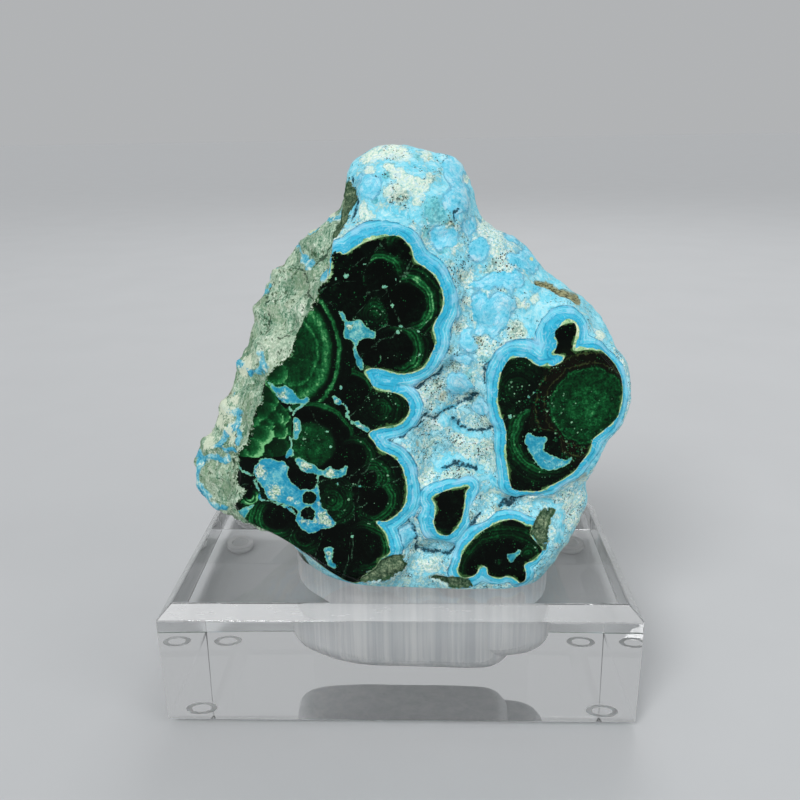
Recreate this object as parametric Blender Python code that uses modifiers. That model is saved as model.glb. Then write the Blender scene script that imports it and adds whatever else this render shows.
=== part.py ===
"""A polished malachite and chrysocolla specimen standing in a clear acrylic display block.

Six pieces: the stone, the block that its foot is let into, and four round bumper feet.
Metres, +Z up. The origin is on the table, under the middle of the block; the polished face looks along -Y.
Outlines are given in millimetres and turned into metres where a mesh is made.
"""

import math

import bmesh
import bpy
import numpy as np
from mathutils import Vector, noise

MM = 0.001

# Display block, millimetres
BLOCK_WIDTH, BLOCK_DEPTH, BLOCK_HEIGHT = 110.0, 60.0, 30.0
BLOCK_CHAMFER = 3.0
BLOCK_BASE = 2.0
BLOCK_TOP = BLOCK_BASE + BLOCK_HEIGHT

# Bumper feet
FOOT_RADIUS, FOOT_FLAT_RADIUS, FOOT_HEIGHT = 4.0, 2.6, 1.8
FOOT_FLANK_HEIGHT = 1.44
FOOT_INSET = 7.0
FOOT_SIDES, FOOT_FLANK_STEPS = 20, 4

# Milled pocket: x, y of the walls, and the height of each floor above the table
POCKET_FLOOR, SHELF_FLOOR = 11.6, 15.0
POCKET_FILLET = 4.0
POCKET_OUTLINE = [
    (-27.5, 6), (-27, -1), (-24.5, -7.5), (-20, -12.5), (-15, -16.5), (-8, -19.4), (1, -20.1), (9, -20.6),
    (17, -21), (22, -20), (25.5, -16), (27, -8), (27.5, 2), (27, 10), (24, 14.5), (16, 16.2), (2, 16.6),
    (-16, 16.4), (-24, 14), (-27, 10.5),
]
SHELF_OUTLINE = [
    (12, -15), (20, -20.4), (28.4, -19.8), (33.5, -16), (36, -10), (36.8, -2), (36.5, 6), (34, 11.5),
    (28, 14.5), (16, 14),
]
STONE_CLEARANCE = 0.5
COLLAR_PROUD = 0.3

# Stone: the middle that its outlines are measured from, and its faces' depths
CENTRE_X, CENTRE_Z = 3.0, 76.0
FACE_Y_AT_RIM = -20.5
FACE_LEAN = 0.06
BACK_Y = 16.0
BACK_LEAN = 0.08
BACK_SQUARENESS = 0.8
ROUNDING_SHARE = 0.9

# Edge of the front face: x, z, how the side falls away behind it (1 straight, 2 round, 4 square),
# and how far in from the edge the face is rounded over
FACE_EDGE = [
    (-13.1, 110.2, 1.4, 1), (-15.8, 101.8, 1.2, 0.5), (-19.4, 93.3, 1.2, 0.5), (-27.5, 84.1, 1.2, 0.5),
    (-29.6, 77.7, 1.2, 0.5), (-32.7, 70.8, 1.2, 0.5), (-35.4, 64.9, 1.2, 0.5), (-34.6, 59, 1.3, 0.5),
    (-37.2, 54.1, 1.4, 0.5), (-35.1, 48.7, 1.4, 1.5), (-29.4, 45.4, 1.2, 2), (-25.8, 43.1, 1.1, 2),
    (-20.9, 39.6, 1.1, 2), (-13.5, 35, 1.2, 2), (-6.1, 32.8, 2.2, 1), (5.2, 33, 3, 0.5),
    (16.4, 32.8, 3, 0.5), (23.9, 32.8, 2.4, 0.5), (30.3, 34.3, 1.6, 1), (33.9, 36.6, 1.5, 2),
    (37.2, 42.2, 1.8, 3), (39.2, 49.4, 2.4, 3), (41.9, 54.9, 2.4, 3), (43, 61, 2.6, 2.5),
    (46, 66.6, 2.8, 2), (49, 71, 3, 2), (50.2, 77, 3, 2), (49.6, 82.5, 2.8, 2.5), (46, 88, 2, 4),
    (45, 92, 1.5, 6), (40.5, 97.4, 1.3, 7), (35.1, 100.8, 1.3, 7), (30.9, 104.3, 1.3, 7),
    (27.5, 108.2, 1.3, 7), (24.3, 110.9, 1.3, 7), (20.4, 112.4, 1.3, 7), (17, 115.2, 1.4, 9),
    (15.4, 123, 1.4, 11), (11.8, 126.3, 1.4, 11), (6.2, 128.2, 1.4, 11), (-1.4, 129.4, 1.4, 11),
    (-6, 127.4, 1.4, 11), (-8.8, 123.2, 1.4, 10), (-9.9, 118.4, 1.4, 7), (-11.6, 114.8, 1.4, 3),
]
# Widest outline of the stone: x, z and the depth y at which it is widest there
GIRTH = [
    (-1.7, 131.3, 2), (6.5, 130, 2), (12.8, 128.2, 2), (16.7, 123.6, 2), (18.4, 118, 1), (19.6, 114, 0),
    (22.2, 112.9, -1), (26.7, 110.6, -1), (31, 107.1, -1), (33.9, 102.9, -2), (38.2, 99.9, -3),
    (43.6, 96, -4), (46.8, 92.6, -5), (48.6, 88.7, -7), (48, 87.5, -8), (51.2, 84.6, -10),
    (52.5, 76.8, -10), (51.3, 71.5, -10), (48.3, 66.3, -9), (46.4, 61.1, -8), (44.4, 55, -7),
    (45.2, 49.2, -7), (42.6, 43, -7), (39.6, 36, -6), (36, 29, -4), (34.5, 21, -3), (31, 17.3, -2),
    (24, 14.6, -2), (10, 12.2, -2), (-10, 12.2, -1), (-20, 14, 0), (-25, 21, 1), (-26.5, 31, 2),
    (-28.2, 37.5, 0), (-33, 40.5, -3), (-38.4, 43.4, -6), (-41.5, 45.4, -7), (-46, 46.2, -7),
    (-49.8, 49.7, -6), (-49.2, 58.6, -5), (-47.3, 63.6, -5), (-43.1, 69.2, -5), (-40.6, 75.7, -5),
    (-37.6, 80.2, -4), (-34.6, 88, -4), (-32.7, 94.9, -4), (-29.9, 102.2, -4), (-24.5, 107, -4),
    (-22.4, 111.3, -4), (-17.7, 114.2, -4), (-14.6, 117.2, -3), (-12.4, 118.6, -1), (-11.8, 124, 1),
    (-9.3, 128, 2), (-4.8, 130.6, 2),
]

# Flat polished windows cut through the malachite, x and z on the front face
WINDOWS = {
    "tall": [
        (-12.9, 109.5), (-10.2, 109.7), (-5.9, 111.5), (-1.7, 112.7), (2.4, 111.4), (4, 107.5),
        (7.6, 104.7), (9.9, 99.5), (9.1, 94.1), (8.2, 89.8), (6.4, 86), (2.1, 83.9), (-2.3, 84.3),
        (-6, 84.1), (-5.2, 82.6), (-2.3, 80.7), (0.9, 79.8), (2.9, 77.5), (2.8, 74.8), (0.4, 72.1),
        (-3.6, 71.4), (-2.6, 69.5), (0.7, 64.8), (2.2, 61.3), (2.2, 56.5), (1, 51.1), (-2.9, 48.9),
        (-3.7, 46.7), (-2.1, 42.9), (-2.2, 38.6), (-5.5, 36.1), (-12.6, 35.5), (-20.8, 40.1),
        (-29.4, 45.9), (-35, 49.2), (-37.1, 52.9), (-34.6, 59), (-35.4, 64.9), (-32.7, 70.8),
        (-29.6, 77.7), (-27.5, 84.1), (-19.4, 93.3), (-15.8, 101.8),
    ],
    "teardrop": [
        (7.8, 54.5), (12.4, 56.4), (16, 57.2), (15.8, 52.8), (13.8, 47.9), (11.5, 45.4), (9.2, 46.2),
        (8.3, 50.4),
    ],
    "low": [
        (13.8, 36.1), (14.7, 40.4), (18.4, 45.4), (23.3, 48.6), (27.9, 48.6), (30.2, 47.4), (34.4, 42.9),
        (32.9, 40.4), (30, 37.9), (29.4, 34.6), (24.7, 34.8), (20.1, 37.1), (15.5, 34.8),
    ],
    "right": [
        (22.7, 84.2), (24.4, 86.4), (26.9, 87), (30.2, 85.9), (33, 85), (35.5, 86.7), (34.7, 91.7),
        (35.7, 93.2), (38, 94.3), (38.9, 92.8), (38.6, 88.4), (41.8, 88.4), (46.1, 87.3), (48.9, 83.5),
        (49.6, 78.4), (48.4, 73.9), (43.8, 69.3), (42.6, 63.5), (39.8, 61.2), (34.4, 56.9), (29.9, 55.9),
        (25.9, 57.1), (24.1, 68.3), (22.3, 79.7),
    ],
}
LIP_WIDTH, LIP_FALL = 2.4, 4.2
# How far the unpolished front lies behind the polished plane: all over, at the dome, at the right shoulder
VALLEY_DEPTH, DOME_SETBACK, SHOULDER_SETBACK = 2.8, 1.6, 2.5
DOME_RISES_FROM, DOME_RISE = 100.0, 14.0
SHOULDER_FROM, SHOULDER_RUN = 118.0, 22.0
CREASE_KEEPS_OFF, CREASE_EASES_IN = 1.6, 1.5
# Rounded hollows and swellings of the front: x, z, radius, depth (positive is hollow)
HOLLOWS = [
    (14, 62, 13, 3.2), (17, 74, 9, 2.2), (13, 98, 8, 1.6), (4, 51, 7, 1.8), (6, 40, 6, 1.6),
    (26, 52, 7, 1.4), (36, 105, 12, 2.6), (20, 106, 9, 1.6), (24, 95, 12, 0.8), (2, 118, 10, 1.2),
]
SWELLINGS = [
    (26.5, 101, 4.5, 1.5), (20.5, 98.5, 5.5, 1.8), (24, 91, 5, 1.4), (15.5, 88, 4.5, 1.4),
    (15, 81, 4.5, 1.3), (13, 108, 5, 1.5), (4.5, 122, 6.5, 1.6), (11, 117, 6, 1.8), (-4.5, 121, 5, 1.4),
    (12.5, 68, 4.5, 1.5), (17, 64.5, 4, 1.4), (31, 98, 4.5, 1.2), (10.5, 73, 4, 1.2), (5, 44, 3.6, 1.2),
    (36, 99, 4, 1),
]
# Creases between the lips: points x, z, then half width and depth
CREASES = [
    ([(11, 84), (14, 78), (12, 72), (15, 68)], 1.9, 1.6),
    ([(9, 42.5), (13, 41.5), (17, 43), (19, 47)], 1.8, 1.8),
    ([(22, 53.5), (27, 52.2), (33, 52.7), (40, 57)], 2.4, 1.7),
    ([(20, 82), (19, 74), (21, 64), (20, 58)], 1.9, 1.4),
    ([(5, 59), (10, 58.5), (17, 60), (21, 62)], 1.8, 1.3),
    ([(12, 112), (17, 107), (19, 100)], 1.9, 1.3),
    ([(-11, 112), (-4, 116), (4, 115), (8, 110)], 2.0, 1.0),
]
# The same on the back, where a negative depth is a swelling
BACK_HOLLOWS = [
    (-22, 74, 16, 4.5), (20, 92, 12, 3.5), (34, 58, 12, 3), (2, 108, 12, 2.5), (-4, 88, 13, -2.5),
    (14, 66, 15, -2.5), (-30, 56, 9, -1.5), (-8, 56, 11, 2),
]
# Roughness of the sides and back: rounded knobs, broken ledges and a broad swell
KNOB_SIZE, KNOB_HEIGHT, KNOB_SEAM, KNOB_CROWN = 13.0, 1.5, 2.2, 1.15
KNOB_SHIFT = (3.1, 5.27, 0.0)
LEDGE_SPACING, LEDGE_HEIGHT, LEDGE_STEEPNESS, LEDGE_WANDER = 10.0, 2.0, 4.0, 16.0
SWELL_SIZE = 17.0

STONE_SUBDIVISIONS = 7
STONE_TRIANGLE_SHARE = 0.094
FRONT_DENSITY = 1.7


def material(name, colour, roughness, metallic=0.0, transmission=0.0, ior=1.5):
    made = bpy.data.materials.new(name)
    made.use_nodes = True
    shader = made.node_tree.nodes["Principled BSDF"]
    shader.inputs["Base Color"].default_value = (*colour, 1.0)
    shader.inputs["Roughness"].default_value = roughness
    shader.inputs["Metallic"].default_value = metallic
    shader.inputs["Transmission Weight"].default_value = transmission
    shader.inputs["IOR"].default_value = ior
    made.diffuse_color = (*colour, 1.0)
    return made


def add_object(name, mesh, collection, finish=None):
    obj = bpy.data.objects.new(name, mesh)
    collection.objects.link(obj)
    if finish:
        mesh.materials.append(finish)
    return obj


def as_cutter(obj):
    obj.hide_render = True
    obj.display_type = "WIRE"
    return obj


def cut(obj, cutter, label):
    step = obj.modifiers.new(label, "BOOLEAN")
    step.operation = "DIFFERENCE"
    step.solver = "EXACT"
    step.object = cutter


# ---------------------------------------------------------------- pocket and block

def inset_points(points, inset):
    """The closed outline moved inwards by the inset, point by point along its normals."""
    outline = np.array(points, float)
    along = np.roll(outline, -1, axis=0) - np.roll(outline, 1, axis=0)
    along /= np.linalg.norm(along, axis=1)[:, None]
    inward = np.stack([-along[:, 1], along[:, 0]], axis=1)
    x, y = outline.T
    area = np.dot(x, np.roll(y, -1)) - np.dot(y, np.roll(x, -1))
    return outline + inward * inset * math.copysign(1.0, area)


def pocket_cutter(name, points, floor, inset, collection):
    """A round-bottomed milling of the outline, from its floor to well above the block."""
    reach = 12.0
    top = BLOCK_TOP + reach
    curve = bpy.data.curves.new(name, "CURVE")
    curve.dimensions = "2D"
    curve.fill_mode = "BOTH"
    curve.resolution_u = 3
    curve.extrude = (top - floor - 2 * POCKET_FILLET) / 2 * MM
    curve.bevel_depth = POCKET_FILLET * MM
    curve.bevel_resolution = 2
    curve.offset = -POCKET_FILLET * MM
    spline = curve.splines.new("BEZIER")
    outline = inset_points(points, inset)
    spline.bezier_points.add(len(outline) - 1)
    for point, (x, y) in zip(spline.bezier_points, outline):
        point.co = (x * MM, y * MM, 0)
        point.handle_left_type = point.handle_right_type = "AUTO"
    spline.use_cyclic_u = True
    shape = bpy.data.objects.new(name + "_outline", curve)
    collection.objects.link(shape)
    shape.location.z = (top + floor) / 2 * MM
    bpy.context.view_layer.update()
    graph = bpy.context.evaluated_depsgraph_get()
    mesh = bpy.data.meshes.new_from_object(shape.evaluated_get(graph))
    work = bmesh.new()
    work.from_mesh(mesh)
    bmesh.ops.remove_doubles(work, verts=work.verts, dist=0.00001)
    bmesh.ops.recalc_face_normals(work, faces=work.faces)
    work.to_mesh(mesh)
    work.free()
    cutter = as_cutter(add_object(name, mesh, collection))
    cutter.matrix_world = shape.matrix_world
    bpy.data.objects.remove(shape)
    return cutter


def box_mesh(name, low, high):
    work = bmesh.new()
    bmesh.ops.create_cube(work, size=1.0)
    low, high = Vector(low) * MM, Vector(high) * MM
    for vert in work.verts:
        vert.co = (low + high) / 2 + Vector(c * s for c, s in zip(vert.co, high - low))
    mesh = bpy.data.meshes.new(name)
    work.to_mesh(mesh)
    work.free()
    return mesh


def chamfer_top(mesh):
    """The 45 degree chamfer round the block's upper edge."""
    work = bmesh.new()
    work.from_mesh(mesh)
    top = BLOCK_TOP * MM - 1e-6
    edges = [edge for edge in work.edges if all(vert.co.z > top for vert in edge.verts)]
    bmesh.ops.bevel(work, geom=edges, offset=BLOCK_CHAMFER * MM, segments=1, affect="EDGES")
    work.to_mesh(mesh)
    work.free()


def build_block(parts, cutters):
    half_w, half_d = BLOCK_WIDTH / 2, BLOCK_DEPTH / 2
    mesh = box_mesh("acrylic_block", (-half_w, -half_d, BLOCK_BASE), (half_w, half_d, BLOCK_TOP))
    chamfer_top(mesh)
    clear = material("clear_acrylic", (0.93, 0.95, 0.95), 0.02, transmission=1.0, ior=1.49)
    block = add_object("acrylic_block", mesh, parts, clear)
    cut(block, pocket_cutter("pocket_cutter", POCKET_OUTLINE, POCKET_FLOOR, 0.0, cutters), "pocket")
    cut(block, pocket_cutter("shelf_cutter", SHELF_OUTLINE, SHELF_FLOOR, 0.0, cutters), "shelf")


# ---------------------------------------------------------------- feet

def build_feet(parts):
    """Round bumpers, turned about their axis: flat on the table, rounded flank, flat against the block."""
    rubber = material("clear_bumper", (0.9, 0.92, 0.92), 0.12, transmission=0.9, ior=1.5)
    flank_width = FOOT_RADIUS - FOOT_FLAT_RADIUS
    turns = [math.pi / 2 * step / FOOT_FLANK_STEPS for step in range(FOOT_FLANK_STEPS, -1, -1)]
    flank = [
        (FOOT_FLAT_RADIUS + flank_width * math.sin(turn), FOOT_FLANK_HEIGHT * (1 - math.cos(turn)))
        for turn in turns
    ]
    profile = [(0, FOOT_HEIGHT), (FOOT_RADIUS, FOOT_HEIGHT), *flank, (0, 0)]
    for front in (True, False):
        for left in (True, False):
            name = f"foot_{'front' if front else 'rear'}_{'left' if left else 'right'}"
            mesh = bpy.data.meshes.new(name)
            edges = [(i, i + 1) for i in range(len(profile) - 1)]
            mesh.from_pydata([(x * MM, 0, z * MM) for x, z in profile], edges, [])
            foot = add_object(name, mesh, parts, rubber)
            turn = foot.modifiers.new("turn", "SCREW")
            turn.axis = "Z"
            turn.steps = turn.render_steps = FOOT_SIDES
            turn.use_merge_vertices = True
            turn.merge_threshold = 0.00001
            turn.use_smooth_shade = True
            x = (BLOCK_WIDTH / 2 - FOOT_INSET) * (-1 if left else 1)
            y = (BLOCK_DEPTH / 2 - FOOT_INSET) * (-1 if front else 1)
            foot.location = (x * MM, y * MM, 0)


# ---------------------------------------------------------------- stone

def around(values, angles):
    """Radius and values of an outline's points, read at any angle round the stone, its corners softened."""
    turns = np.radians(np.arange(0, 360, 0.5))
    at = np.arctan2(values[:, 1] - CENTRE_Z, values[:, 0] - CENTRE_X) % math.tau
    order = np.argsort(at)
    soft = np.hanning(9)[1:-1]
    soft /= soft.sum()
    pad = len(soft) // 2
    radius = np.hypot(values[:, 0] - CENTRE_X, values[:, 1] - CENTRE_Z)
    columns = []
    for column in [radius, *values[:, 2:].T]:
        full = np.interp(turns, at[order], column[order], period=math.tau)
        full = np.convolve(np.concatenate([full[-pad:], full, full[:pad]]), soft, "valid")
        columns.append(np.interp(angles, turns, full, period=math.tau))
    return columns


def outline_distance(x, z, points):
    """Distance of each x, z from a closed outline: positive outside, negative inside."""
    a = np.array(points, float)
    b = np.roll(a, -1, axis=0)
    nearest = np.full(len(x), 1e9)
    inside = np.zeros(len(x), bool)
    for (ax, az), (bx, bz) in zip(a, b):
        ex, ez = bx - ax, bz - az
        t = np.clip(((x - ax) * ex + (z - az) * ez) / (ex * ex + ez * ez), 0, 1)
        nearest = np.minimum(nearest, np.hypot(x - ax - t * ex, z - az - t * ez))
        if az != bz:
            crosses = (az > z) != (bz > z)
            inside ^= crosses & (x < ax + (z - az) * ex / ez)
    return np.where(inside, -nearest, nearest)


def line_distance(x, z, points):
    nearest = np.full(len(x), 1e9)
    for (ax, az), (bx, bz) in zip(points, points[1:]):
        ex, ez = bx - ax, bz - az
        t = np.clip(((x - ax) * ex + (z - az) * ez) / (ex * ex + ez * ez), 0, 1)
        nearest = np.minimum(nearest, np.hypot(x - ax - t * ex, z - az - t * ez))
    return nearest


def smoothstep(value):
    t = np.clip(value, 0, 1)
    return t * t * (3 - 2 * t)


def quarter_turn(share):
    return np.clip(share, 0, 1) * math.pi / 2


def soft_spot(x, z, cx, cz, radius):
    """1 at a spot's middle, falling smoothly to almost nothing at its radius."""
    return np.exp(-2 * ((x - cx) ** 2 + (z - cz) ** 2) / radius**2)


def face_depth(x, z):
    """The front face's y: a leaning plane, with the valley and the dome set back behind the windows."""
    y = FACE_Y_AT_RIM + FACE_LEAN * (z - BLOCK_TOP)
    window = np.min([outline_distance(x, z, points) for points in WINDOWS.values()], axis=0)
    fall = smoothstep((window - LIP_WIDTH) / LIP_FALL)
    y = y + fall * (VALLEY_DEPTH + DOME_SETBACK * smoothstep((z - DOME_RISES_FROM) / DOME_RISE))
    y = y + fall * SHOULDER_SETBACK * smoothstep((x + z - SHOULDER_FROM) / SHOULDER_RUN)
    for cx, cz, radius, depth in HOLLOWS:
        y = y + depth * fall * soft_spot(x, z, cx, cz, radius)
    for cx, cz, radius, height in SWELLINGS:
        gap = np.clip(1 - ((x - cx) ** 2 + (z - cz) ** 2) / radius**2, 0, 1)
        y = y - height * fall * gap * (1.6 - 0.6 * gap)
    for points, half_width, depth in CREASES:
        gap = line_distance(x, z, points) / half_width
        y = y + depth * np.exp(-gap * gap) * smoothstep((window - CREASE_KEEPS_OFF) / CREASE_EASES_IN)
    return y


def back_depth(x, z):
    """The rough back's y before its knobs: it leans in towards the dome, and is broadly hollowed."""
    y = BACK_Y - BACK_LEAN * np.clip(z - CENTRE_Z, 0, None)
    for cx, cz, radius, depth in BACK_HOLLOWS:
        y = y - depth * soft_spot(x, z, cx, cz, radius)
    return y


def meridian_steps(share):
    """Place along a meridian for each share of the sphere's surface, so that triangles come out about equal.

    The place is 0 at the front's middle, 1 at the face's edge, 2 at the girth and 3 at the back's middle.
    It is worked out on a round stone of about this one's size.
    """
    edge, girth, front_depth, rear_depth = 44.0, 49.0, 15.0, 18.0
    t = np.linspace(0, 3, 601)
    a, b = quarter_turn(t - 1), quarter_turn(t - 2)
    radius = np.where(t < 1, t * edge, np.where(t < 2, edge + (girth - edge) * np.sin(a), girth * np.cos(b)))
    y = np.where(t < 2, front_depth * (1 - np.cos(a)), front_depth + rear_depth * np.sin(b))
    ring = np.hypot(np.diff(radius), np.diff(y)) * (radius[1:] + radius[:-1]) / 2
    ring *= np.where(t[1:] <= 2, FRONT_DENSITY, 1.0)
    area = np.concatenate([[0], np.cumsum(ring)])
    return np.interp(share, area / area[-1], t)


def stone_points(sphere):
    """Carries a unit sphere's points onto the stone. Its -Y pole is the middle of the front face."""
    angles = np.arctan2(sphere[:, 2], sphere[:, 0]) % math.tau
    t = meridian_steps((1 + np.clip(sphere[:, 1], -1, 1)) / 2)
    edge_r, bluntness, rounding = around(np.array(FACE_EDGE, float), angles)
    girth_r, girth_y = around(np.array(GIRTH, float), angles)

    def place(radius):
        return CENTRE_X + radius * np.cos(angles), CENTRE_Z + radius * np.sin(angles)

    front_r = edge_r * np.clip(t, 0, 1)
    over = np.clip(1 - (edge_r - front_r) / rounding, 0, 1)
    rounded_off = rounding * ROUNDING_SHARE * (1 - np.sqrt(1 - ROUNDING_SHARE * over * over))
    front_y = face_depth(*place(front_r)) + rounded_off

    a, power = quarter_turn(t - 1), 2 / bluntness
    side_r = edge_r + (girth_r - edge_r) * np.sin(a) ** power
    side_y = front_y + (girth_y - front_y) * (1 - np.cos(a) ** power)

    b = quarter_turn(t - 2)
    rear_r = girth_r * np.cos(b) ** BACK_SQUARENESS
    rear_y = girth_y + (back_depth(*place(rear_r)) - girth_y) * np.sin(b) ** BACK_SQUARENESS

    x, z = place(np.where(t < 1, front_r, np.where(t < 2, side_r, rear_r)))
    y = np.where(t < 1, front_y, np.where(t < 2, side_y, rear_y))
    return np.stack([x, y, z], axis=1), t


def knobs(point):
    """Rounded knobs packed side by side, 0 in the seams between them and 1 on their tops."""
    nearest, second = noise.voronoi(Vector(point) / KNOB_SIZE + Vector(KNOB_SHIFT))[0][:2]
    seam = smoothstep((second - nearest) * KNOB_SEAM)
    return seam * max(0.0, KNOB_CROWN - nearest * nearest)


def ledges(point):
    """Steps of a broken surface, running down to the left, each rising slowly and ending in a drop."""
    x, y, z = point
    wander = 0.9 * noise.noise(Vector((x, y, z)) / LEDGE_WANDER)
    along = (x * 0.45 + z * 0.9 + y * 0.5) / LEDGE_SPACING + wander
    rise = along - math.floor(along)
    return min(rise, (1 - rise) * LEDGE_STEEPNESS)


def rough_amount(points, t):
    """How far each point of the sides and back stands out of the smooth form, in millimetres.

    The upper left side is broken into ledges and the back is knobbly. The right side stays smooth.
    """
    x, z = points[:, 0], points[:, 2]
    off_the_face = smoothstep((t - 1.05) / 0.4)
    broken_share = smoothstep((-x - 8) / 8) * smoothstep((118 - z) / 8) * (1 - smoothstep((t - 2.1) / 0.4))
    knobbly_share = 0.18 + 0.82 * smoothstep((t - 2.05) / 0.35)
    above_the_pocket = 0.2 + 0.8 * smoothstep((z - BLOCK_TOP + 1) / 8)
    amount = np.zeros(len(points))
    for i in np.flatnonzero(off_the_face):
        swell = noise.fractal(Vector(points[i]) / SWELL_SIZE, 0.9, 2.0, 2)
        knobbed = knobbly_share[i] * (KNOB_HEIGHT * knobs(points[i]) - 0.6 + 2.2 * swell)
        broken = LEDGE_HEIGHT * ledges(points[i]) - 0.9 + 1.6 * swell
        amount[i] = broken_share[i] * broken + (1 - broken_share[i]) * knobbed
    return amount * off_the_face * above_the_pocket


def vertex_values(mesh, name, size=3):
    values = np.empty(len(mesh.vertices) * size, np.float32)
    mesh.vertices.foreach_get(name, values)
    return values.reshape(-1, size).astype(float)


def build_stone(parts, cutters):
    """The stone. A collar as high as the block, open where the pocket is, trims its foot to the pocket."""
    work = bmesh.new()
    bmesh.ops.create_icosphere(work, subdivisions=STONE_SUBDIVISIONS, radius=1.0)
    mesh = bpy.data.meshes.new("malachite_stone")
    work.to_mesh(mesh)
    work.free()
    points, t = stone_points(vertex_values(mesh, "co"))
    mesh.vertices.foreach_set("co", (points * MM).ravel())
    mesh.update()
    points += vertex_values(mesh, "normal") * rough_amount(points, t)[:, None]
    mesh.vertices.foreach_set("co", (points * MM).ravel())
    mesh.update()
    mesh.shade_smooth()
    green = material("malachite_and_chrysocolla", (0.05, 0.30, 0.28), 0.25)
    stone = add_object("malachite_stone", mesh, parts, green)
    thin = stone.modifiers.new("fewer_faces", "DECIMATE")
    thin.ratio = STONE_TRIANGLE_SHARE

    reach = BLOCK_WIDTH
    collar_mesh = box_mesh("collar", (-reach, -reach, -BLOCK_BASE), (reach, reach, BLOCK_TOP + COLLAR_PROUD))
    collar = as_cutter(add_object("collar", collar_mesh, cutters))
    openings = {"room": (POCKET_OUTLINE, POCKET_FLOOR), "shelf_room": (SHELF_OUTLINE, SHELF_FLOOR)}
    for name, (outline, floor) in openings.items():
        room = pocket_cutter("stone_" + name, outline, floor + STONE_CLEARANCE, STONE_CLEARANCE, cutters)
        cut(collar, room, name)
    cut(stone, collar, "fit_to_pocket")


def main():
    for obj in list(bpy.data.objects):
        bpy.data.objects.remove(obj)
    scene = bpy.context.scene
    parts = bpy.data.collections.new("malachite_on_stand")
    cutters = bpy.data.collections.new("cutters")
    scene.collection.children.link(parts)
    scene.collection.children.link(cutters)
    build_block(parts, cutters)
    build_feet(parts)
    build_stone(parts, cutters)


main()
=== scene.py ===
"""Dresses the polished malachite specimen and its clear display block.

Lengths in the outlines below are millimetres: x and z on the polished face, seen from the front.
Blender's own units are metres. +Z is up and the polished face looks along -Y.
"""

import math

import bmesh
import bpy
import numpy as np
from mathutils import Matrix, Vector, noise


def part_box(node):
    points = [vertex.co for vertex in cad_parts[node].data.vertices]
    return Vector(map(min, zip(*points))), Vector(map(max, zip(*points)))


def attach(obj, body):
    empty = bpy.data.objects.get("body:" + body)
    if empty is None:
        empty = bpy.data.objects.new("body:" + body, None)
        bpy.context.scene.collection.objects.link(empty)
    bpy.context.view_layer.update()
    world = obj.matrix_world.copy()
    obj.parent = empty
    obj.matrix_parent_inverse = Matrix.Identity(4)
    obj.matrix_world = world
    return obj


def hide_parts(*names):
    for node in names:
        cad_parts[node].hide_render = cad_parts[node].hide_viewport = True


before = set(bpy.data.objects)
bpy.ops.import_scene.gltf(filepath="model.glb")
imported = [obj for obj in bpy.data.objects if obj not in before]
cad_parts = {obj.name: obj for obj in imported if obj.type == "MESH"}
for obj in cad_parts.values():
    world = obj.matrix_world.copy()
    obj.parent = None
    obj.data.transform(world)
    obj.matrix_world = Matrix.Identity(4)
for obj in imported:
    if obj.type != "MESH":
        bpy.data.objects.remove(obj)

MM = 0.001

# ---------------------------------------------------------------- sizes that the solids share

BLOCK_LOW, BLOCK_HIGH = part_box("acrylic_block")
BLOCK_TOP = BLOCK_HIGH.z / MM
CHAMFER = 3.0
EDGE_BREAK = 0.22
# Heights of the pocket's two floors, the rounding round them, and how far its tools stand above the block
POCKET_FLOOR, SHELF_FLOOR, POCKET_FILLET = 11.6, 15.0, 4.0
POCKET_REACH = 12.0
# The pocket's outlines from above: x, y
POCKET_OUTLINE = [
    (-27.5, 6), (-27, -1), (-24.5, -7.5), (-20, -12.5), (-15, -16.5), (-8, -19.4), (1, -20.1), (9, -20.6),
    (17, -21), (22, -20), (25.5, -16), (27, -8), (27.5, 2), (27, 10), (24, 14.5), (16, 16.2), (2, 16.6),
    (-16, 16.4), (-24, 14), (-27, 10.5),
]
SHELF_OUTLINE = [
    (12, -15), (20, -20.4), (28.4, -19.8), (33.5, -16), (36, -10), (36.8, -2), (36.5, 6), (34, 11.5),
    (28, 14.5), (16, 14),
]
# The polished plane: its y at the height of the block's top, and how far it leans back for each mm up
FACE_Y_AT_RIM, FACE_LEAN = -20.5, 0.06

# ---------------------------------------------------------------- outlines on the polished face

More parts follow.
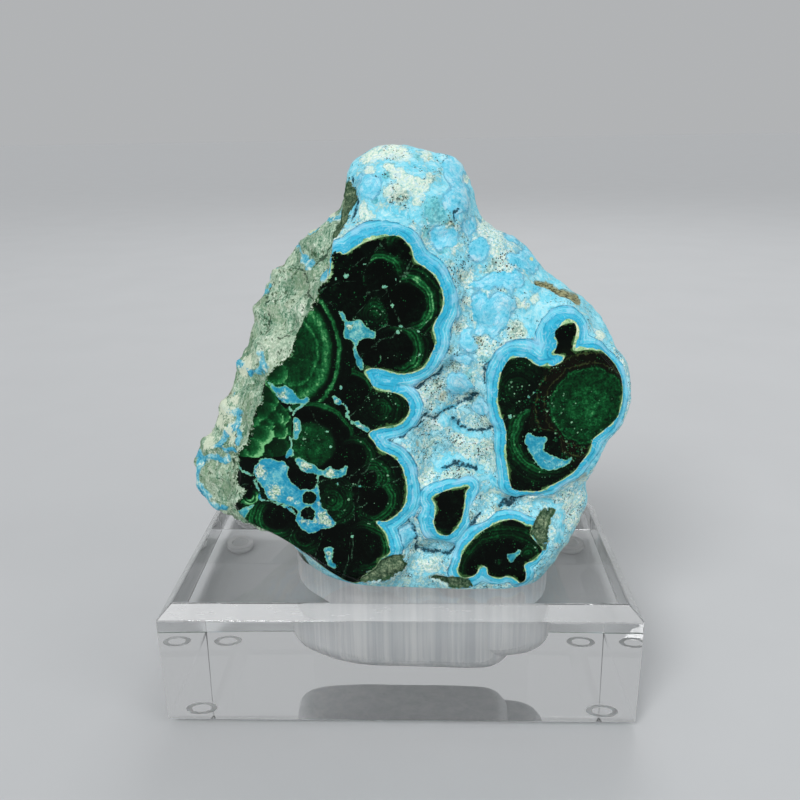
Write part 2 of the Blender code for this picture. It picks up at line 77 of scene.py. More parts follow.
TALL_WINDOW = [
    (-12.8, 109.1), (-11.4, 109.6), (-10.4, 109.2), (-8.8, 110), (-6.4, 111.5), (-3.3, 112.5), (-0.1, 113),
    (1.7, 112.5), (2.8, 111.5), (3.6, 110.3), (4.1, 108.7), (4.6, 107.5), (6.2, 106.5), (7.8, 105.3),
    (9, 103.9), (9.8, 102.1), (10.3, 100), (10.2, 98), (9.4, 96.2), (8.4, 94.1), (8.2, 92.7), (8.6, 91.2),
    (8.5, 89.5), (7.5, 87.4), (5.8, 84.8), (3, 83.7), (0.9, 83.5), (-1.7, 84.2), (-4.4, 84.7), (-6.2, 84.6),
    (-6.8, 83.7), (-5.7, 82), (-4.5, 80.1), (-2.9, 79.5), (-0.8, 79.3), (1.4, 78.4), (2.9, 76.5),
    (2.8, 74.8), (1.8, 73.2), (0.2, 72), (-2.2, 71.5), (-4.7, 70.9), (-6.3, 69.8), (-5, 67.8), (-3.7, 65.8),
    (-1.3, 64.7), (0.3, 63.3), (1.4, 61.2), (2, 57.7), (1.9, 53.9), (1, 51.9), (-0.7, 50.1), (-2.6, 48.9),
    (-5.1, 48.9), (-4.1, 47.4), (-2.9, 45.4), (-2.3, 43.3), (-2, 41.1), (-4.1, 39.5), (-5.4, 37.2),
    (-7.8, 35.2), (-8.9, 33.2), (-11, 31.2), (-15, 32), (-18, 33.8), (-21.2, 36.4), (-24.2, 38.4),
    (-27.2, 40.6), (-30, 43), (-32, 45.2), (-34.6, 46.8), (-36.8, 49.3), (-37.6, 50.8), (-37.4, 52.6),
    (-35.9, 54.3), (-34.9, 56.1), (-35.4, 57.3), (-36.7, 57.9), (-37.2, 59.3), (-36.5, 60.8), (-35.9, 62.3),
    (-36, 64.9), (-35.1, 66.3), (-33.6, 67.7), (-32.7, 69.7), (-32, 72.2), (-31.6, 74.2), (-30.6, 76.1),
    (-29.7, 78.1), (-29.9, 80), (-28.9, 81.9), (-28, 83.6), (-26.6, 84.9), (-24.4, 86.2), (-22.3, 89.1),
    (-21.4, 91.6), (-20.3, 94.5), (-18.7, 96.7), (-17.5, 98.4), (-16.4, 100.1), (-16.1, 102.1),
    (-14.5, 103.4), (-13.3, 105.3), (-13, 107.8),
]
RIGHT_WINDOW = [
    (24, 85.7), (24.9, 86.6), (26.7, 87), (28.4, 86.6), (29.8, 85.6), (31.1, 85), (32.8, 84.9), (34.2, 85),
    (35.9, 85.8), (36.5, 87.2), (35.2, 87.5), (34.1, 87.7), (34.5, 88.7), (34.7, 90.3), (34.2, 91.6),
    (34.4, 92.7), (35.4, 93.7), (36.6, 94.2), (38.2, 94.3), (38.8, 93.1), (38.6, 91.4), (38.3, 89.6),
    (38.5, 88.3), (41.4, 88.5), (44.1, 88.2), (46.5, 87.1), (48.1, 85.3), (48.9, 82.8), (49.4, 80.1),
    (49.3, 77.6), (48.9, 75.5), (48.6, 73.6), (47.3, 71.8), (45.4, 70.1), (43.5, 68.3), (43.1, 66.6),
    (42.1, 64.5), (40.8, 62.6), (40, 61.2), (37.8, 59.5), (35, 57.7), (32, 56.2), (29.4, 56.2), (27.4, 56.3),
    (25.9, 56.8), (25.3, 58.3), (25, 60.8), (24.5, 63.8), (24.3, 66.5), (24.4, 68.3), (24.2, 70.7),
    (23.7, 72.4), (22.9, 74.7), (22.4, 77), (22.3, 79.3), (22.5, 81.6), (23, 83.9),
]
TEARDROP_WINDOW = [
    (8, 54.5), (9.6, 55.7), (11.6, 56.5), (13.9, 57), (15.6, 57.4), (16.3, 57.1), (15.5, 55.9),
    (15.3, 54.3), (15.1, 51.9), (14.5, 49.4), (13.3, 47.2), (11.6, 45.4), (9.8, 45.7), (8.5, 47.2),
    (8.2, 49), (8.8, 51.2), (8.7, 53.1),
]
LOW_WINDOW = [
    (13.8, 36.2), (14.3, 38.8), (15.1, 41.4), (16.9, 44), (19.2, 46.2), (21.5, 47.8), (23.8, 48.9),
    (26.1, 49.2), (27.8, 48.7), (29.3, 47.8), (30.5, 47.5), (30.3, 45.6), (31.5, 44), (33.3, 41.8),
    (32.2, 40.2), (30.7, 38.9), (29.1, 37.9), (29.5, 36), (29.4, 34.3), (28.2, 33.3), (27, 34.6),
    (25.2, 35.1), (23.8, 34.6), (22.3, 34.8), (20.8, 35.6), (20.5, 37.2), (19, 37.6), (18.1, 35.6),
    (16.4, 34.8), (14.9, 34.8),
]
WINDOWS = [TALL_WINDOW, RIGHT_WINDOW, TEARDROP_WINDOW, LOW_WINDOW]

# Chrysocolla let into the malachite. Each outline, then how blue it is (0 green-teal, 1 blue)
INLAYS = [
    ([(-12.1, 97.2), (-11.2, 97.4), (-10.5, 96.5), (-10.5, 95.5), (-9.4, 95.3), (-7.8, 95.7), (-7, 95.1),
      (-6.2, 94), (-5.2, 93.2), (-4.2, 92.8), (-4, 91.9), (-4.4, 91.3), (-5.4, 91.4), (-6.7, 91.2),
      (-7.7, 90.9), (-8, 89.9), (-8.2, 88.8), (-7.6, 87.6), (-6.9, 86), (-7, 84.6), (-7.6, 84.3),
      (-8.3, 85.4), (-8.7, 87), (-9.2, 88.6), (-8.9, 90.1), (-9.6, 90.9), (-10.6, 91.4), (-11.2, 92.4),
      (-10.9, 93.7), (-11.1, 94.9), (-11.6, 96.1)], 0.25),
    ([(-28.6, 82.6), (-27.6, 81.6), (-25.8, 80.8), (-24.4, 81.2), (-22.9, 80.2), (-21.9, 78.6), (-20.6, 78),
      (-19.2, 78.5), (-19, 77.2), (-20.1, 76.9), (-21.7, 76.9), (-23.6, 76.8), (-24.9, 77.2), (-25.9, 78),
      (-26.7, 79.4), (-27.7, 80.8)], 0.6),
    ([(-23.1, 73), (-22.1, 73.6), (-21.3, 72.8), (-21.3, 70.7), (-21.7, 68.8), (-22.5, 68.5), (-23.2, 69.1),
      (-22.8, 70.7)], 0.4),
    ([(-24.7, 65.9), (-23.8, 66.8), (-23.3, 65.6), (-23.9, 64.5), (-25, 64.5)], 0.6),
    ([(-14.1, 78.2), (-13.3, 78.5), (-12, 77.7), (-11.8, 76.8), (-12.6, 76.4), (-13.6, 77)], 0.4),
    ([(-9.7, 72.5), (-8.4, 72.5), (-7.1, 71.8), (-6, 71), (-6.3, 70.1), (-7.4, 70.5), (-8.7, 71.5)], 0.3),
    ([(-23.1, 63.6), (-22.3, 64.3), (-20.7, 63.6), (-19.1, 62.7), (-17.7, 61.6), (-16.4, 61.4), (-15, 62.2),
      (-13.9, 61.4), (-12.5, 61.7), (-11.7, 62.4), (-11.2, 61.9), (-11.7, 60.4), (-12.9, 59.5),
      (-14.5, 59.2), (-16.2, 59.8), (-17.5, 59.8), (-18.9, 60.4), (-20.8, 60.7), (-22.1, 61.9)], 0.35),
    ([(-32.6, 61), (-31.1, 63.6), (-29.4, 64.2), (-27.3, 63.6), (-25.4, 63.3), (-24.3, 62.2), (-24.8, 60.4),
      (-24.2, 58.4), (-22.6, 56.9), (-21, 56.8), (-19.3, 56.9), (-18.2, 57.2), (-17.7, 56), (-17.6, 54),
      (-17.3, 52.5), (-15.4, 50.1), (-14.2, 48.1), (-15.8, 47.1), (-17.5, 46.8), (-19.2, 45.9),
      (-20.6, 45.9), (-22.3, 47.1), (-23.6, 49.2), (-22.9, 51.3), (-24.5, 52.5), (-26.7, 53.2),
      (-29.2, 54.3), (-30.2, 55.5), (-30.7, 57.2), (-31.7, 58.7)], 0.85),
    ([(-37.2, 50.7), (-34.9, 52.2), (-32.6, 53.2), (-34.4, 51), (-35.7, 48.6), (-36.6, 48.9)], 0.3),
    ([(-17.4, 42), (-15.9, 42.5), (-14.9, 41.7), (-15.4, 40.4), (-15.3, 38.8), (-14.6, 37.5), (-14.9, 36.9),
      (-16.1, 37.5), (-16.7, 38.8), (-17.2, 40.7)], 0.45),
    ([(29.1, 70), (30.2, 69.3), (31.1, 68.8), (32.9, 69), (33.4, 68.5), (32.9, 67.4), (32.8, 65.7),
      (34.4, 64.7), (36.3, 64), (37.6, 63.5), (38.5, 64.2), (38.9, 63.6), (38, 62.5), (36.3, 61.5),
      (34.1, 61), (32.1, 61.8), (30.6, 63.5), (29.4, 65.9), (28.6, 68.2)], 0.7),
    ([(25.1, 40.5), (26.6, 40.8), (27.7, 42.1), (28.3, 41.1), (26.9, 39.5), (26.1, 38.2), (25.5, 38.9)], 0.3),
]
# Pale speckled places in the inlays: x, z, radius
PALE_PLACES = [
    (-31.1, 60.9, 2.4), (-28.1, 56.3, 2.1), (-24.7, 54.4, 1.2), (-21.4, 48.9, 1.6), (-17.1, 49.5, 3.0),
    (-18, 52.9, 1.1), (-25.6, 78.7, 1.9), (-23, 71.5, 1.5), (-20.5, 62.2, 1.6), (-15, 60.9, 1.6),
    (-9.6, 93.6, 1.1), (-13, 77.4, 0.9), (-16.2, 40.5, 1.3), (-7.6, 71.4, 1.0),
]
# Small round islands of malachite inside the largest inlay: x, z, radius
ISLANDS = [(-20.1, 54.6, 1.6), (-20.6, 50.8, 1.6)]
# Thin veins of chrysocolla between the inlays, all of one half width
VEINS = [
    [(-19.3, 77.2), (-20.6, 76.6), (-22, 75.5), (-22.9, 74.4), (-23.4, 75.8)],
    [(-35.9, 62.5), (-35.1, 61), (-33, 60.3)],
    [(-32.5, 59), (-31.8, 56.9), (-31.4, 54.3), (-27.3, 53.1), (-24.6, 51.9), (-23.2, 50.4)],
    [(-18.1, 60.1), (-18.2, 57.2)],
    [(-23.7, 68.8), (-23.5, 67.3), (-24, 66)],
    [(-11.5, 76.6), (-10.6, 75.2), (-10.6, 73.6), (-9.4, 72)],
]
VEIN_HALF_WIDTH = 0.26
# Pale beads where lobes meet: x, z, radius. After them, hair-thin pale lines in the malachite
BEADS = [
    (-2, 102.4, 0.42), (1.4, 93.9, 0.42), (0.7, 92.7, 0.42), (-0.4, 98.5, 0.3), (0.4, 103.9, 0.28),
    (-12.1, 104, 0.35), (-10, 104.7, 0.5), (5, 92.8, 0.28), (-6, 107, 0.3), (-3.3, 90.9, 0.25),
    (5, 87.7, 0.35), (-8.6, 57.6, 0.35), (-10.6, 45.1, 0.38), (-14.8, 66.8, 0.38), (-15.3, 70.2, 0.3),
    (-12.1, 80.5, 0.45), (-13.5, 57.9, 0.28), (-5.6, 65.1, 0.25), (25.1, 73.6, 0.5), (30, 79.2, 0.3),
    (29.2, 78, 0.35),
]
HAIRLINES = [
    [(-6.2, 100.6), (-5, 101.4), (-2, 102.3), (-1, 100.7), (-0.2, 97.6), (1.4, 93.9), (-0.7, 91.5),
     (-3.5, 90.7), (-6, 88.5)],
    [(1.5, 104.5), (3.1, 105.3), (4.4, 107.3)],
    [(-8.9, 107), (-6, 108.7), (-3.5, 110.4), (-0.8, 112.1)],
    [(-15.8, 100.2), (-14.1, 99.1), (-13, 97.9)],
    [(1.6, 93.5), (2.9, 93.5), (5.2, 92.8)],
    [(-19.6, 76.6), (-18.1, 73.6), (-15.4, 69.9)],
    [(-18.1, 58.7), (-11.1, 59.8), (-2.6, 61.3), (1.7, 62.7)],
    [(-6.7, 53.3), (-9.1, 51.9), (-9.1, 57.5), (-7.9, 59.9), (-6.1, 63)],
    [(-13.8, 57.9), (-8.9, 57.5)],
    [(-10.6, 46.1), (-10.5, 42.5), (-11, 38.8)],
    [(30.3, 79.6), (29.3, 78.2), (28.7, 77.1)],
]

# Lobes of banded malachite: x, z, radius, how green, which way its bright side looks (degrees,
# 0 to the right, 90 up), how much of its middle is black, how speckled
LOBES = [
    (-2.7, 104.4, 5.3, 0.50, 110, 0.60, 0.2), (2.3, 98.7, 6.7, 0.52, 12, 0.60, 0.3),
    (-4.3, 96.5, 3.9, 0.42, 60, 0.0, 1.0), (-9.1, 100.8, 4.7, 0.10, 90, 0.7, 0.2),
    (0.1, 89, 6, 0.50, 15, 0.60, 0.5), (-5.7, 89.9, 2.3, 0.08, 0, 0.6, 0.0),
    (-4.7, 87.3, 2.3, 0.10, 0, 0.6, 0.2), (-9.5, 107.5, 6, 0.08, 60, 0.5, 0.1),
    (1.2, 111.3, 3, 0.35, 90, 0.3, 0.0), (-9.5, 79.6, 5.1, 0.36, 35, 0.62, 0.2),
    (-3.5, 75.4, 6.2, 0.30, 20, 0.0, 0.8), (-9.7, 64.7, 5.2, 0.28, 20, 0.5, 0.4),
    (-6, 59.7, 4.7, 0.34, 30, 0.2, 0.7), (-5.9, 54.2, 5.8, 0.48, -15, 0.60, 0.5),
    (-15, 54, 6.4, 0.36, -35, 0.0, 0.9), (-21.4, 59.6, 3.9, 0.04, 0, 0.8, 0.0),
    (-7.9, 42.4, 6.2, 0.45, 5, 0.62, 0.3), (-14.1, 43, 5.6, 0.06, 0, 0.8, 0.1),
    (-21.5, 45.2, 5, 0.26, 240, 0.3, 0.1), (-28.1, 49.6, 7.7, 0.42, 215, 0.3, 0.0),
    (-33.9, 54.9, 2.4, 0.75, 300, 0.2, 0.0), (26.4, 80.2, 6.8, 0.24, 150, 0.0, 1.0),
    (33.8, 68.8, 9.4, 0.40, 195, 0.62, 1.0), (38.9, 66.4, 3.6, 0.34, 0, 0.0, 1.0),
    (24.6, 35.6, 12.7, 0.24, 115, 0.62, 0.2), (30.1, 40.8, 3.2, 0.40, 90, 0.0, 0.8),
    (23.4, 38.5, 2.9, 0.16, 0, 0.0, 0.8), (11.6, 51.2, 8.7, 0.26, 262, 0.45, 0.0),
    (36.6, 91.5, 4.5, 0.0, 0, 0.9, 0.0),
]
# The great lobe low in the tall window, a dull disc with a black and a thin bright ring: x, z, radius
MIDDLE_LOBE = (-19.1, 67.3, 11.0)
# The great green disc on the right and the fan of bands on the left: x, z, half width, half height
GREEN_DISC = (42.1, 76.0, 12.3, 12.6)
FAN = (-22.8, 88.7, 10.4, 13.5)
# Overlapping shell-like scales under the fan, the upper ones last: x, z, radius, brightness
SCALES_PATCH = [
    (-29.5, 81.5), (-26.7, 79), (-25, 76.5), (-23.2, 73.6), (-23.5, 69.7), (-24.6, 65.2), (-27.5, 64.4),
    (-31.4, 64.1), (-37, 65), (-35, 69.1), (-33.5, 72.5), (-32, 77),
]
SCALES = [
    (-24.3, 67.6, 3.4, 0.5), (-26.8, 66.3, 3.2, 0.55), (-24.4, 71.6, 2.4, 0.7), (-26.1, 75.9, 2, 0.7),
    (-25.2, 73.8, 1.6, 0.75), (-28.0, 79.4, 2.2, 0.7), (-27.7, 77.6, 1.9, 0.75), (-28.9, 75.1, 2.2, 0.85),
    (-26.9, 73.3, 1.9, 0.9), (-26.2, 70.6, 2.0, 0.9), (-29.6, 64.3, 2, 0.5), (-31.3, 72.4, 1.5, 1.2),
    (-28.9, 71.8, 1.6, 0.9), (-30.0, 69.6, 2.4, 1.15), (-32.4, 66.3, 2.5, 1.2), (-35, 64.8, 1.8, 0.9),
]
# One more scale, by itself on the fan
FAN_SCALE = (-25.8, 83.6, 2.4, 0.85)
# Broken, unpolished malachite: all that lies left of the tall window, and a few spots of the front
BROKEN_SIDE = [
    (-13.4, 109.3), (-13.4, 111.3), (-13.2, 113.8), (-11.6, 115.4), (-12.4, 117.5), (-16, 121),
    (-60, 121), (-60, 36), (-33.5, 36), (-30.5, 47.5), (-33, 52), (-33, 60), (-30, 70), (-27, 80),
    (-20, 92), (-14.5, 102),
]
GREY_PATCHES = [
    [(30.8, 48.1), (32.7, 50.3), (34.7, 50.8), (36.3, 50.4), (35.9, 49.3), (35.1, 48.7), (34.7, 46.8),
     (34.5, 44.6), (33.9, 41.8), (32.7, 42.7), (31.4, 44.6), (30.3, 45.6)],
    [(-9.3, 33.9), (-7.8, 35.2), (-5.4, 37.2), (-4.2, 39.1), (-2.1, 40.1), (0.9, 40.3), (1.5, 38.5),
     (2, 36.6), (-0.4, 34.6), (-2.8, 33.6), (-6.4, 33.2)],
    [(7.4, 33.4), (10.4, 34.4), (13.4, 34.8), (15.8, 34.6), (16.7, 34), (17, 32), (12.2, 31.5), (8, 32.3)],
    [(-11.5, 121.9), (-10.1, 124.1), (-9.1, 122.4), (-8.4, 120.5), (-8.7, 118.4), (-9.6, 117.1),
     (-10.6, 114.8), (-12.5, 112.5), (-13.6, 112.6), (-12.6, 116), (-12.6, 119.4)],
]
# Blue bands that stand a little proud of the broken side, with their half widths
RIDGES = [
    ([(-21, 112.5), (-17.5, 114.4), (-15.2, 115.6), (-13.5, 117), (-11.9, 118.2)], 0.7),
    ([(-20.9, 107.4), (-19.5, 106.4), (-18.6, 106.6)], 0.8),
    ([(-15.1, 105.4), (-15.1, 104.2)], 0.7),
    ([(-23, 110.2), (-22, 109)], 0.6),
    ([(-36.5, 82.6), (-33.4, 81.8), (-31, 82.9), (-29.9, 84.1), (-29.5, 86.4)], 0.8),
    ([(-42, 72.8), (-38.7, 72.9), (-37.3, 72.8), (-36.3, 73.8)], 0.7),
    ([(-37.3, 72.8), (-37.4, 70.8), (-39.1, 68.7), (-41.7, 66.8), (-42.8, 65.3), (-40.4, 64.4), (-38, 65.1)],
     0.85),
    ([(-36.9, 70.9), (-36.4, 69.2), (-36.4, 67.5)], 0.9),
    ([(-47.5, 60.6), (-46.6, 60.2), (-43.5, 61.8), (-42.1, 61.4), (-39.6, 62.7)], 0.8),
    ([(-47.4, 60), (-48.3, 56), (-48.8, 52.5), (-48, 49.3), (-44.8, 48), (-42, 49.4)], 1.1),
    ([(-47.4, 52.6), (-46.6, 51.4)], 1.9),
]
# Cream eyes in the broken side: x, z, radius
CREAM_EYES = [
    (-39.2, 68.3, 1.9), (-41.2, 72.6, 3.2), (-42.9, 69.4, 2.6), (-38.5, 75.5, 1.6), (-33.9, 84, 2.4),
    (-15, 116.6, 1.0), (-45.4, 64.2, 2.2), (-35.6, 81.4, 1.8),
]

# Blue cells in the unpolished front, either closed outlines or x, z, half width, half height
CELL_OUTLINES = [
    [(16.7, 102.4), (19, 103.6), (22.5, 104.4), (25.9, 104.6), (27.5, 103.3), (26.8, 101.1), (25.1, 100.5),
     (23.4, 101.6), (21.8, 101.3), (20.2, 100.5), (17.5, 100.7)],
    [(16.9, 99.9), (19.1, 100.1), (20.7, 99.7), (22.6, 100.4), (25.1, 99.5), (25.8, 97.1), (25.2, 94.5),
     (23.5, 92.4), (21.3, 90.9), (20, 91.5), (18.9, 90.6), (17.2, 91.5), (17.5, 93.3), (16.4, 96.1),
     (16.4, 98.3)],
    [(24.3, 107.9), (26.8, 108.1), (29.5, 108.4), (31, 107.1), (32.4, 104.6), (31, 103.4), (29.5, 103.7),
     (27, 104.5), (24.8, 105.8)],
    [(17.3, 111.6), (19.3, 111.2), (20.4, 109.9), (20.6, 108.1), (19.2, 106.3), (17.3, 106.3),
     (15.8, 107.8), (15.9, 109.9)],
    [(13.9, 91.7), (15, 92.7), (16.7, 92.4), (16.9, 90.8), (18, 89.1), (16.9, 87.5), (14.7, 88.2),
     (13.6, 89.9)],
    [(12.4, 100.1), (13.2, 100.8), (13.9, 99.5), (14.1, 97.2), (13.9, 95.3), (12.7, 94.2), (12, 95.8),
     (12.1, 98)],
]
CELL_SPOTS = [
    (13.8, 80.1, 3.1, 3.0), (14.7, 86, 2.6, 1.4), (27.4, 111, 3.2, 1.2), (24.5, 98.2, 1.2, 1.8),
    (-5.2, 122.9, 3.0, 2.6), (13.4, 125.2, 2.8, 3.2), (13.8, 119.9, 3.0, 3.2), (10.9, 112.2, 3.3, 2.4),
    (1.6, 44.4, 2.4, 2.9), (18.6, 74.8, 1.6, 2.4), (16.4, 114, 2, 1.6), (30.6, 100.9, 1.6, 1.0),
]
# The cream middles of two cells: x, z, radius
CELL_EYES = [(30.3, 105.8, 0.8), (24.6, 98.3, 0.35)]
# Cream, teal and tan spots of the unpolished front: x, z, radius
CREAM_SPOTS = [
    (-6.4, 117.5, 1.8), (-5.4, 126.2, 1.4), (16.3, 123.3, 1.3), (7.1, 128.6, 1.3), (4.9, 119.4, 1.4),
    (19.5, 113.3, 1.9), (13.1, 66.7, 1.4), (16.4, 65.8, 1.8), (6.1, 58.4, 1.7), (6.8, 77.7, 2.2),
    (7.8, 36.1, 2.4), (6.4, 58.5, 1.6), (22, 113, 2), (23, 89, 1.8), (40, 50, 3), (40.6, 46.5, 2.4),
    (8.5, 71, 1.8), (20, 62.5, 2.2), (22.4, 55, 1.3), (30.2, 98.3, 1.3), (44, 90.6, 1.6), (0.8, 121.2, 2.4),
    (15.3, 103.8, 2), (23.6, 106.2, 2.2), (26.8, 97.7, 2), (14, 93.6, 1.9), (18.4, 89.6, 1.7),
    (27.1, 92.3, 2.2), (21.5, 110.6, 2.2), (21.9, 108.3, 1.4), (15.4, 98.4, 1.1), (29, 88.8, 1.4),
]
CREAM_OUTLINES = [
    [(-7.6, 127.8), (-5.2, 129.7), (-1.8, 131.2), (0.9, 130.8), (2.9, 129.1), (2.7, 127.9), (0.5, 127.8),
     (-1.7, 128.2), (-5.1, 127.8), (-6.7, 127.4)],
    [(-2, 126.4), (0.1, 126.4), (2.3, 125.4), (4.9, 124.5), (7.1, 124), (8, 124.8), (8.4, 124),
     (7.3, 123.2), (6.6, 121.7), (5.1, 121.1), (3.4, 121.9), (1.5, 123.4), (-0.5, 124.8)],
]
TEAL_SPOTS = [
    (8.6, 117.4, 4.6), (11.5, 114.6, 3.6), (5, 127.9, 1.5), (7, 113.2, 2.4), (-3.7, 120.2, 1.6),
    (22.5, 93, 2.6), (10.6, 110.4, 2.2), (16, 82, 2.4), (-1.5, 124.8, 1.6), (20, 86.5, 2),
    (27, 36.5, 1.6),
]
TAN_SPOTS = [
    (12, 114.9, 2.2), (4.8, 66.9, 1.3), (18.2, 90.2, 1.2), (23.2, 51.4, 1.7), (41.7, 59, 2.2),
    (10.6, 77, 1.8), (7.6, 128.3, 0.8), (18.8, 104.8, 0.8),
]
# Grey places full of pinholes: x, z, radius, how grey
SPECKLED_SPOTS = [
    (2, 120.2, 4.2, 0.8), (9.6, 125, 2.1, 0.7), (12, 114.6, 2.6, 0.9), (15.3, 103.8, 2.2, 0.8),
    (27.1, 92.3, 2.4, 0.9), (8.5, 123.5, 3, 0.6), (18.4, 89.8, 2, 0.9), (14, 93.6, 2, 0.7),
    (23.6, 106.2, 2, 0.6), (9, 80, 3, 0.9), (12.5, 84, 2.2, 0.8), (16.5, 76.6, 3, 1.0),
    (20, 71.5, 2.5, 0.8), (11.5, 88.5, 2.2, 0.9), (14.5, 103.5, 2.2, 0.8), (20.5, 105, 2.2, 0.9),
    (21, 66, 3, 0.7), (8, 66, 4, 0.6), (26, 92.5, 3, 0.8), (14, 60, 3, 0.7), (17, 50, 2, 0.7),
    (4, 74, 3, 0.8), (22, 83, 2.5, 0.8), (6, 50, 2.2, 0.9), (5.5, 41, 2.5, 0.7), (12, 107, 2.5, 0.6),
    (3, 60.5, 1.8, 0.6),
]
# Bluer bands of the unpolished front, with their half widths
BLUE_VEINS = [
    ([(10.3, 72.2), (12.2, 70.8), (13.9, 69.2), (16.1, 67.8), (18.3, 67.5), (20.3, 68.7)], 1.1),
    ([(10, 71.3), (8.9, 73.8), (11.1, 74.4), (13.3, 74.4)], 0.9),
    ([(9, 60.5), (11.5, 62.3), (14.2, 62.4), (17.5, 61), (19.5, 59.6)], 1.1),
    ([(16.2, 58.3), (17.9, 58.2), (19.2, 58.1), (21, 58), (22.1, 56.2), (22.9, 53.5), (23.7, 52.3)], 0.8),
    ([(19.4, 55.9), (21.1, 55.1), (22.3, 56.3)], 0.6),
    ([(31.5, 51.9), (34.5, 52.6), (37.4, 51), (38.3, 47.5), (37, 43)], 0.9),
    ([(46.6, 67), (45.2, 62.8), (42.6, 60), (39.4, 58.6)], 1.2),
    ([(27.9, 101.5), (27.3, 97.7), (27.8, 94.8), (28.9, 92.9), (29.3, 91.5)], 0.8),
    ([(6, 33.6), (10, 35.6), (14, 35), (17, 36.5)], 0.6),
    ([(20.5, 86), (24, 89.6), (28, 90)], 0.7),
]
# Thin pale lines on the dome
PALE_ARCS = [
    [(-5.1, 127.8), (-1.7, 128.2), (1.9, 127.6), (2.7, 128.1), (4.2, 129.1)],
    [(13.2, 127.2), (14.8, 125.5), (15.4, 122.9), (15.1, 120.8), (16.5, 118.9), (16.7, 116.4), (15.4, 113.8),
     (15.6, 110.5)],
    [(-0.7, 123.2), (1.9, 123.2), (3.8, 121.3), (5.8, 120.5), (6.2, 121.3)],
    [(11.4, 123.6), (12.9, 122), (12.6, 119.8), (11, 118)],
]
# Creases and cracks of the unpolished front, sunk into the relief and painted dark as shade: points, then
# half width and depth
CRACKS = [
    ([(10.8, 84.4), (10, 82.9), (7.8, 81.6), (6.2, 80.6), (4.1, 80.2), (0.9, 80.5)], 0.5, 0.5),
    ([(17.6, 77.3), (15.8, 76.2), (12.5, 74), (10, 73), (8.6, 72), (7, 73.3)], 0.6, 0.6),
    ([(12.8, 71.2), (14.5, 69.5), (16.2, 68.5), (19.3, 69.3), (21.2, 71.1), (22.5, 69.9)], 0.5, 0.5),
    ([(9.7, 60.7), (11.1, 60.9), (13.1, 61.5), (16, 61.4), (18.3, 60.5)], 0.55, 0.6),
    ([(7, 73.6), (6.2, 73.4), (4.8, 70.9), (2.4, 69.9), (0.8, 69.1)], 0.5, 0.4),
    ([(20.4, 86), (19.4, 84.5), (19.2, 82.7), (19.5, 81.1)], 0.4, 0.3),
    ([(8.4, 65.9), (10, 64.9), (11.4, 63.4)], 0.25, 0.2),
    ([(23.7, 52.4), (25.7, 52.6), (28.3, 53.6), (30.3, 54.3), (32.3, 54.6), (34.2, 55.4)], 0.62, 0.9),
    ([(4.2, 40.2), (5.7, 39.4), (7.8, 39.1), (10.2, 40), (13.1, 42), (14.5, 43.9), (15.7, 45.8)], 0.55, 0.6),
    ([(3.4, 51.2), (2.6, 49), (3.7, 45.7), (4.2, 43.1), (4.5, 39.5)], 0.45, 0.3),
    ([(18.6, 51), (17.7, 49.1), (16.3, 46.8), (14.5, 43.9)], 0.5, 0.3),
    ([(14.6, 118.7), (12.9, 116.9), (13.3, 115.4)], 0.35, 0.2),
    ([(-9.3, 124), (-9, 122.2), (-8.1, 120.5), (-8.3, 118), (-9.6, 116)], 0.4, 0.4),
]
# Cracks of the broken side, sunk into the relief and painted dark green as shade: points, then half width and
# depth
SIDE_CRACKS = [
    ([(-22.7, 107), (-21.4, 105.1), (-20, 103.2), (-19.1, 100.9), (-18.1, 99.9), (-17.3, 99.2)], 0.4, 0.5),
    ([(-29.3, 100.9), (-29.7, 99.3), (-28.9, 98.1), (-29.5, 96.1), (-29.1, 94.1), (-29.5, 92)], 0.35, 0.4),
    ([(-28.7, 100.8), (-26.3, 102), (-25.5, 102.3)], 0.3, 0.4),
    ([(-25.8, 91.5), (-24.8, 91.8), (-23.4, 92.1)], 0.35, 0.4),
    ([(-13.2, 113.8), (-14, 112.2), (-15.3, 110.5), (-16.9, 108), (-17.9, 106.6)], 0.4, 0.4),
    ([(-36.6, 73), (-37.2, 70.5), (-37.4, 68), (-37.2, 65)], 0.25, 0.3),
    ([(-37.5, 63.4), (-38.6, 62.4), (-38, 60.4)], 0.35, 0.4),
]
# A narrow slit filled with olive-brown, laid fibres
OLIVE_SLIT = [(31.1, 101.6), (33.8, 100.8), (35.7, 99.7), (37.8, 99), (40.6, 97.6)]

# The usual width of the blue rim round the windows, and where it differs: x, z, radius, change
RIM_WIDTH = 3.1
RIM_CHANGES = [
    (-6, 114.5, 8, 3.0), (7, 110, 6, 1.6), (13, 97, 8, 1.3), (-1, 81.8, 5, 1.5), (36, 96, 7, 3.4),
    (31, 92, 5, 1.6), (25, 88, 6, 0.5), (14, 58, 4, -1.3), (17.5, 51.5, 4, -1.8), (20, 49.5, 5, -1.2),
    (13, 38, 5, -1.2), (30, 52, 6, -1.2), (38, 58, 7, -1.0), (25, 32.5, 9, -1.4), (6.5, 49, 5, 0.9),
    (34, 40, 6, -2.0), (-22, 36, 15, -3.4), (-8, 33, 5, -2),
]

# Where the pale green line between window and rim is thicker: x, z, radius
CONTACT_PLACES = [(39.2, 92, 2.6), (36.8, 95, 1.8), (39.8, 89, 1.4), (-5, 112.6, 1.6)]

# How far outside the windows the distance to them is still worked out, for the rims
RIM_REACH = 14.0

# ---------------------------------------------------------------- fields on the stone's surface


def smooth(value):
    t = np.clip(value, 0, 1)
    return t * t * (3 - 2 * t)


def closed_curve(points, steps=4):
    """A smooth closed curve through the points."""
    b = np.array(points, float)[:, None]
    a, c, d = (np.roll(b, shift, axis=0) for shift in (1, -1, -2))
    t = (np.arange(steps) / steps)[None, :, None]
    bend = (2 * a - 5 * b + 4 * c - d) * t**2 + (3 * b - 3 * c + d - a) * t**3
    return (b + 0.5 * ((c - a) * t + bend)).reshape(-1, 2)


